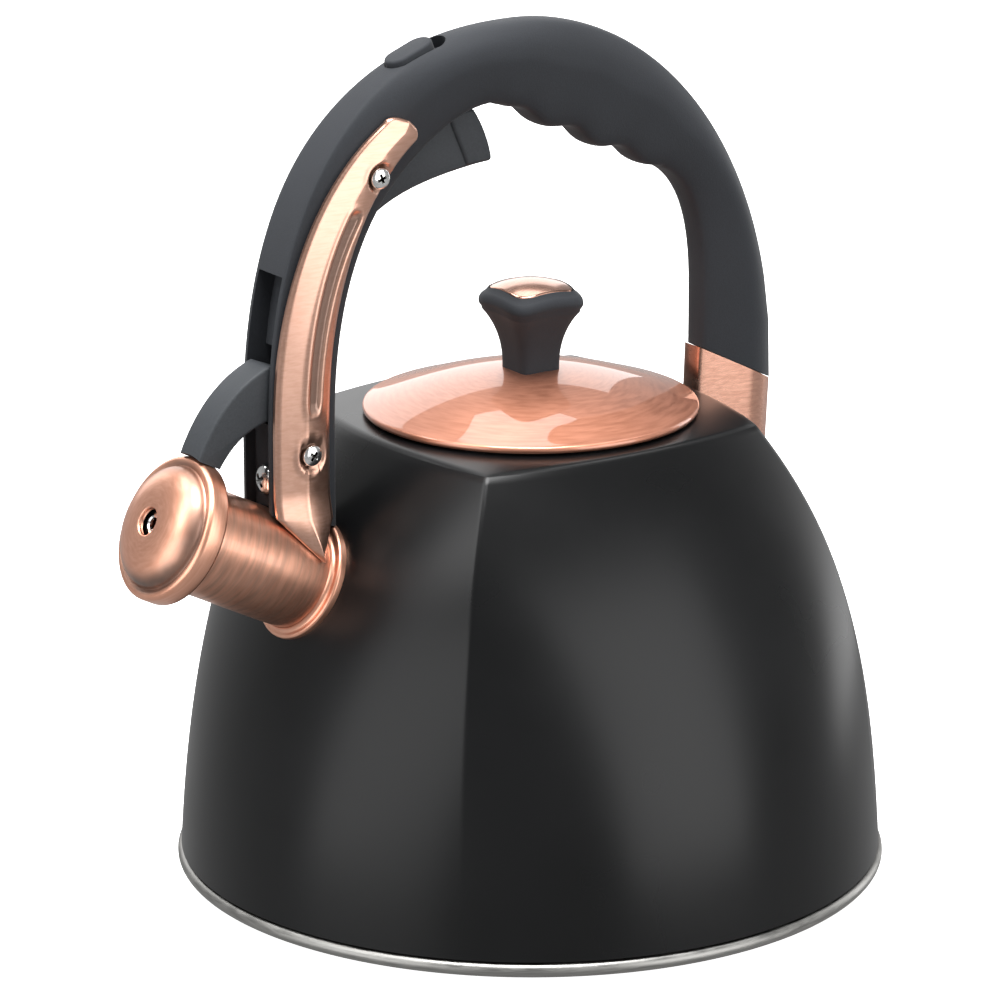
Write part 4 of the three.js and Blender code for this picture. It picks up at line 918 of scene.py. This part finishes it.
def plate_faces(x, z, share):
    """How far the plate's outer and inner faces stand from the XZ plane. Rows run from its V to its top."""
    bow = plate_bow(share, z)
    curl_front = 0.5 * (1 - smoothstep(share, 0.0, 0.05))
    curl_back = 1.3 * smoothstep(share, 0.88, 1.0) ** 1.5
    top = np.minimum(np.arange(len(x))[::-1] / 6.0, 1.0)[:, None]
    outer = PLATE_OUTER + bow - curl_front - curl_back - 0.5 * (1 - smoothstep(top, 0.0, 1.0))
    centre = arch(GROOVE_REACH, GROOVE_RISE, ARCH_POWER, np.linspace(*GROOVE_TURNS, 60))
    gap = np.min(np.hypot(x[..., None] - centre[:, 0], z[..., None] - centre[:, 1]), axis=-1)
    outer = outer - 0.8 * (1 - smoothstep(gap, 1.3, 2.3)) + 0.2 * np.exp(-((gap - 2.9) / 0.8) ** 2)
    for head in (UPPER_SCREW, LOWER_SCREW):
        away = np.hypot(x - head[0], z - head[1])
        sunk = 1 - smoothstep(away, 3.4, 4.6)
        outer = mix(outer, np.minimum(outer, PLATE_SEAT), sunk) + 0.2 * np.exp(-((away - 5.0) / 0.8) ** 2)
    return outer, np.minimum(PLATE_INNER + np.minimum(bow, 0), outer - 0.35)


def side_plate(label, side):
    front, back = plate_edges()
    if label == "left":
        front = mix(front, back, PLATE_SHORT)
    front_shares, back_shares = [0, 0.012, 0.03, 0.06], [0.93, 0.955, 0.975, 0.99, 1.0]
    shares = np.concatenate([front_shares, np.linspace(0.1, 0.9, 41), back_shares])
    place = mix(front[:, None, :], back[:, None, :], shares[None, :, None])
    x, z = place[..., 0], place[..., 1]
    flare = PLATE_FLARE * smoothstep(-z, -128, -108)
    outer, inner = plate_faces(x, z, np.broadcast_to(shares, x.shape))
    rings = []
    for k in range(len(x)):
        outside = np.column_stack([x[k], side * (outer[k] + flare[k]), z[k]])
        inside = np.column_stack([x[k], side * (inner[k] + flare[k]), z[k]])[::-1]
        rings.append(np.vstack([outside, inside]))
    plate = loft(f"side_cover_{label}", rings)
    combine(plate, [*spout_room(0.25), body_form(0.25)])
    finish(plate, LOOKS["plate"], "kettle", "plate_copper", f"side_plate_{label}", sharp=50)


# ---- screws ----
def phillips(name, radius, height, shank, length, crown):
    """A pan-head screw along +Z, with the underside of its head at the origin and a cross recess."""
    rise = []
    for turn in np.radians(range(8, 88, 8)):
        rise.append((radius * math.cos(turn), height * (crown + (1 - crown) * math.sin(turn))))
    profile = [(0.02, -length), (shank, -length), (shank, 0), (radius * 0.97, 0), (radius, height * 0.15),
               (radius, height * crown * 0.9), *rise, (0.02, height)]
    head = turned(name, profile, 48)
    arm, wide, deep = radius * 0.6, radius * 0.15, height * 0.85
    for quarter in (0, 1):
        across = [(-arm, -wide), (arm, -wide), (arm, wide), (-arm, wide)]
        top = [(a, b, height + 0.5) for a, b in across]
        foot = [(a * 0.35, b * 0.7, height - deep) for a, b in across]
        rings = np.array([foot, top])
        if quarter:
            rings = rings[..., [1, 0, 2]]
        combine(head, [loft("cross", rings)])
    return head


def screw(name, node, direction, place, spin, radius=3.0, height=1.9, shank=1.3, length=4, crown=0.55):
    """A screw whose +Z points along a direction, turned by spin degrees, from a place in millimetres."""
    head = phillips(name, radius, height, shank, length, crown)
    turn = Vector(direction).to_track_quat("Z", "Y").to_matrix().to_4x4()
    own = Matrix.Rotation(math.radians(spin), 4, "Z")
    head.data.transform(Matrix.Translation(Vector(place) * MM) @ turn @ own)
    head.data.update()
    finish(head, LOOKS["bright"], "kettle", "bright_steel", node)


def screws():
    for label, side in SIDES.items():
        for level, (x, z), spin in (("upper", UPPER_SCREW, 20), ("lower", LOWER_SCREW, 50)):
            name, node = f"cover_screw_{label}_{level}", f"plate_screw_{label}_{level}"
            screw(name, node, (0, side, 0), (x, side * (PLATE_SEAT + 0.05), z), spin)
    x, z = LEG_SCREW
    screw("leg_fixing_screw", "leg_screw", (-1, 0, 0), (x, 0, z), 35,
          radius=4.4, height=2.4, shank=1.6, length=6, crown=0.2)
    x, z = REAR_SCREW
    screw("rear_fixing_screw", "rear_screw", (1, 0, 0), (x, 0, z), 15, height=1.8, shank=1.6, length=6)


# ---- rear strap ----
def rear_strap():
    inner, outer = REAR_INNER_X - 1.0, HANDLE_END[0] + 0.2
    side = section_side(outer - inner, {
        "outer": REAR_EDGE_HALF - 0.5, "ridge": REAR_RIDGE_HALF - 0.6, "inner": REAR_EDGE_HALF - 0.5,
        "place": REAR_RIDGE_PLACE, "edge": 0.8, "under": 0.7})
    foot_x, foot_z, gap = -2.0, 96.0, 0.3
    x, y = section_ring(np.array([outer, 0.0]), np.array([inner, 0.0]), side)[:, :2].T
    top = HANDLE_END[1] - gap + (HANDLE_END[0] - x) * math.tan(HANDLE_CUT)
    rings = [np.stack([x + foot_x * (1 - t), y, mix(foot_z, top, t)], axis=1) for t in np.linspace(0, 1, 24)]
    strap = loft("rear_band", rings)
    combine(strap, [body_form(0.2)])
    finish(strap, LOOKS["strap"], "kettle", "plate_copper", "rear_strap", sharp=50)


# ---- trigger and lever ----
def trigger():
    lower = bezier([(-16.6, 213.6), (-27, 212.2), (-46, 210.6), (-57.5, 201.8)], 24)
    hook = [(-61, 200.6), (-66, 200.8), (-70, 202.5), (-72.6, 205.3), (-77, 205.7)]
    hook += [(-77.4, 207.6), (-74, 209.6)]
    upper = bezier([(-67, 212.5), (-60, 221.0), (-44, 221.0), (-34, 226.6), (-24.0, 229.4)], 24)
    outline = [*lower, *hook, *upper, (-22.6, 228.9)]
    blade = rounded(slab("squeeze_lever", outline, -TRIGGER_HALF, TRIGGER_HALF), 0.9, 3)
    front = bezier([(-16.6, 213.6), (-17.3, 219), (-19.9, 225), (-22.6, 228.9)], 10)
    rear = bezier([(-31.6, 228.4), (-29.4, 222), (-26.4, 217), (-25.4, 212.9)], 10)
    pad = rounded(slab("pad", [*front, (-24.0, 229.4), *rear], -PAD_HALF, PAD_HALF), 1.2, 4)
    combine(blade, [pad], "UNION")
    finish(blade, LOOKS["hard"], "trigger", "soft_black", "trigger", sharp=42)


def lever():
    top = bezier([(-117.2, 136), (-109.5, 158), (-92, 164.4)], 28)
    under = bezier([(-91, 148.6), (-102.5, 147.2), (-109.2, 135.5)], 28)
    heel = [(-85, 161.6), (-81.6, 159.6), (-80, 158.4), (-76.4, 158.2), (-75.8, 156.6)]
    heel += [(-76.6, 155), (-85, 152.4)]
    arm = rounded(slab("lifting_arm", [*top, *heel, *under], -LEVER_HALF, LEVER_HALF), 0.9, 3)
    room, low, high = CAP_RADIUS + 0.3, 40, 63
    combine(arm, [turned("cap_room", [(0.01, low), (room, low), (room, high), (0.01, high)], 96, on_spout)])
    finish(arm, LOOKS["hard"], "whistle_lever", "soft_black", "lever_arm", sharp=42)


# ---- pieces kept from the CAD ----
KEPT = {
    "heat_spreader": "aluminium", "base_cap": "bead", "lid_skirt": "bright", "knob_washer": "bright",
    "knob_screw": "bright", "cap_seal": "silicone", "cap_rivet": "bright", "whistle_rear_disc": "bright",
    "front_bracket": "bead", "rear_tongue": "bead", "trigger_sleeve": "bright", "push_rod": "hard",
    "lever_pin": "bright", "lever_spring": "bright",
}


def kept_nodes():
    """Gives the inner pieces that stay from the CAD their materials and softened edges."""
    for name, look in KEPT.items():
        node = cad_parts[name]
        node.data.materials.clear()
        node.data.materials.append(LOOKS[look])
        soften(node, 0.12, 2, 40)


# ---- stage ----
CAMERA_TURN = 34.3  # degrees the camera stands round from the -Y side, towards the spout
CAMERA_AWAY, CAMERA_HEIGHT = 1.4381, 0.5443
CAMERA_PITCH, CAMERA_YAW = 16.862, 0.35
CAMERA_LENS = 184.5
LIGHT_AWAY, LIGHT_TARGET = 1.5, Vector((0, 0, 0.12))
FILL_ABOVE, FILL_BELOW = 0.34, 0.44


def camera():
    data = bpy.data.cameras.new("camera")
    data.sensor_width = 36.0
    data.lens = CAMERA_LENS
    data.clip_start = 0.01
    cam = link("camera", data)
    turn = math.radians(CAMERA_TURN)
    cam.location = (-CAMERA_AWAY * math.sin(turn), -CAMERA_AWAY * math.cos(turn), CAMERA_HEIGHT)
    cam.rotation_euler = (math.radians(90 - CAMERA_PITCH), 0, math.radians(CAMERA_YAW - CAMERA_TURN))
    bpy.context.scene.camera = cam


def softbox(name, azimuth, elevation, width, height, power):
    """A soft area light that looks at the kettle. Azimuth 0 is the -Y side and -90 the spout's side."""
    data = bpy.data.lights.new(name, "AREA")
    data.shape = "RECTANGLE"
    data.size, data.size_y = width, height
    data.energy = power
    lamp = link(name, data)
    a, e = math.radians(azimuth), math.radians(elevation)
    back = Vector((math.sin(a) * math.cos(e), -math.cos(a) * math.cos(e), math.sin(e)))
    lamp.location = LIGHT_TARGET + back * LIGHT_AWAY
    lamp.rotation_euler = back.to_track_quat("Z", "Y").to_euler()


def emptied(owner):
    """The node tree of a material or a world, with nothing in it."""
    owner.use_nodes = True
    owner.node_tree.nodes.clear()
    return owner.node_tree


def pale_floor():
    """A white floor that the camera sees, and that neither the kettle's reflections nor its fill light do."""
    half = 6.0 / MM
    corners = [(-half, -half, 0), (half, -half, 0), (half, half, 0), (-half, half, 0)]
    floor = solid("floor", corners, [(0, 1, 2, 3)])
    floor.location.z = -0.0002
    look = bpy.data.materials.new("pale_floor")
    tree = emptied(look)
    glow = add(tree, "ShaderNodeEmission", {"Color": (1, 1, 1, 1), "Strength": 1.0})
    paint = add(tree, "ShaderNodeBsdfDiffuse", {"Color": (0.8, 0.8, 0.8, 1)})
    both = add(tree, "ShaderNodeAddShader", {0: glow.outputs[0], 1: paint.outputs[0]})
    add(tree, "ShaderNodeOutputMaterial", {"Surface": both.outputs[0]})
    floor.data.materials.append(look)
    floor.visible_glossy = False
    floor.visible_diffuse = False
    floor.visible_shadow = False


def studio():
    """A white surround to the camera, which lights the kettle as a weaker fill, stronger from below."""
    world = bpy.data.worlds.new("studio")
    bpy.context.scene.world = world
    tree = emptied(world)
    seen = add(tree, "ShaderNodeLightPath").outputs["Is Camera Ray"]
    direction = add(tree, "ShaderNodeTexCoord").outputs["Generated"]
    height = add(tree, "ShaderNodeSeparateXYZ", {"Vector": direction}).outputs["Z"]
    fill = spread(tree, height, -0.35, 0.35, FILL_BELOW, FILL_ABOVE)
    unseen = maths(tree, "SUBTRACT", 1.0, seen)
    strength = maths(tree, "ADD", seen, maths(tree, "MULTIPLY", unseen, fill))
    sky = add(tree, "ShaderNodeBackground", {"Color": (1, 1, 1, 1), "Strength": strength})
    add(tree, "ShaderNodeOutputWorld", {"Surface": sky.outputs[0]})


def lights():
    softbox("left_high", -100, 44, 0.6, 0.95, 7.5)
    softbox("left_low", -85, 3, 1.3, 0.95, 7.5)
    softbox("front_right", 18, 12, 1.2, 1.3, 12.0)
    softbox("right_rim", 92, 8, 0.5, 1.1, 4.5)
    softbox("rear_left_top", -150, 58, 0.6, 0.42, 5.0)
    softbox("rear_right_top", 135, 58, 0.9, 0.45, 3.4)
    softbox("rear_low", 165, 20, 1.6, 0.8, 6.0)
    softbox("overhead", -40, 80, 0.9, 0.9, 38.0)


bpy.context.scene.view_settings.view_transform = "Standard"
camera()
pale_floor()
studio()
lights()
kept_nodes()
body_shell()
base()
lid()
knob()
spout()
cap()
handle()
button()
for label, side in SIDES.items():
    side_plate(label, side)
screws()
rear_strap()
trigger()
lever()
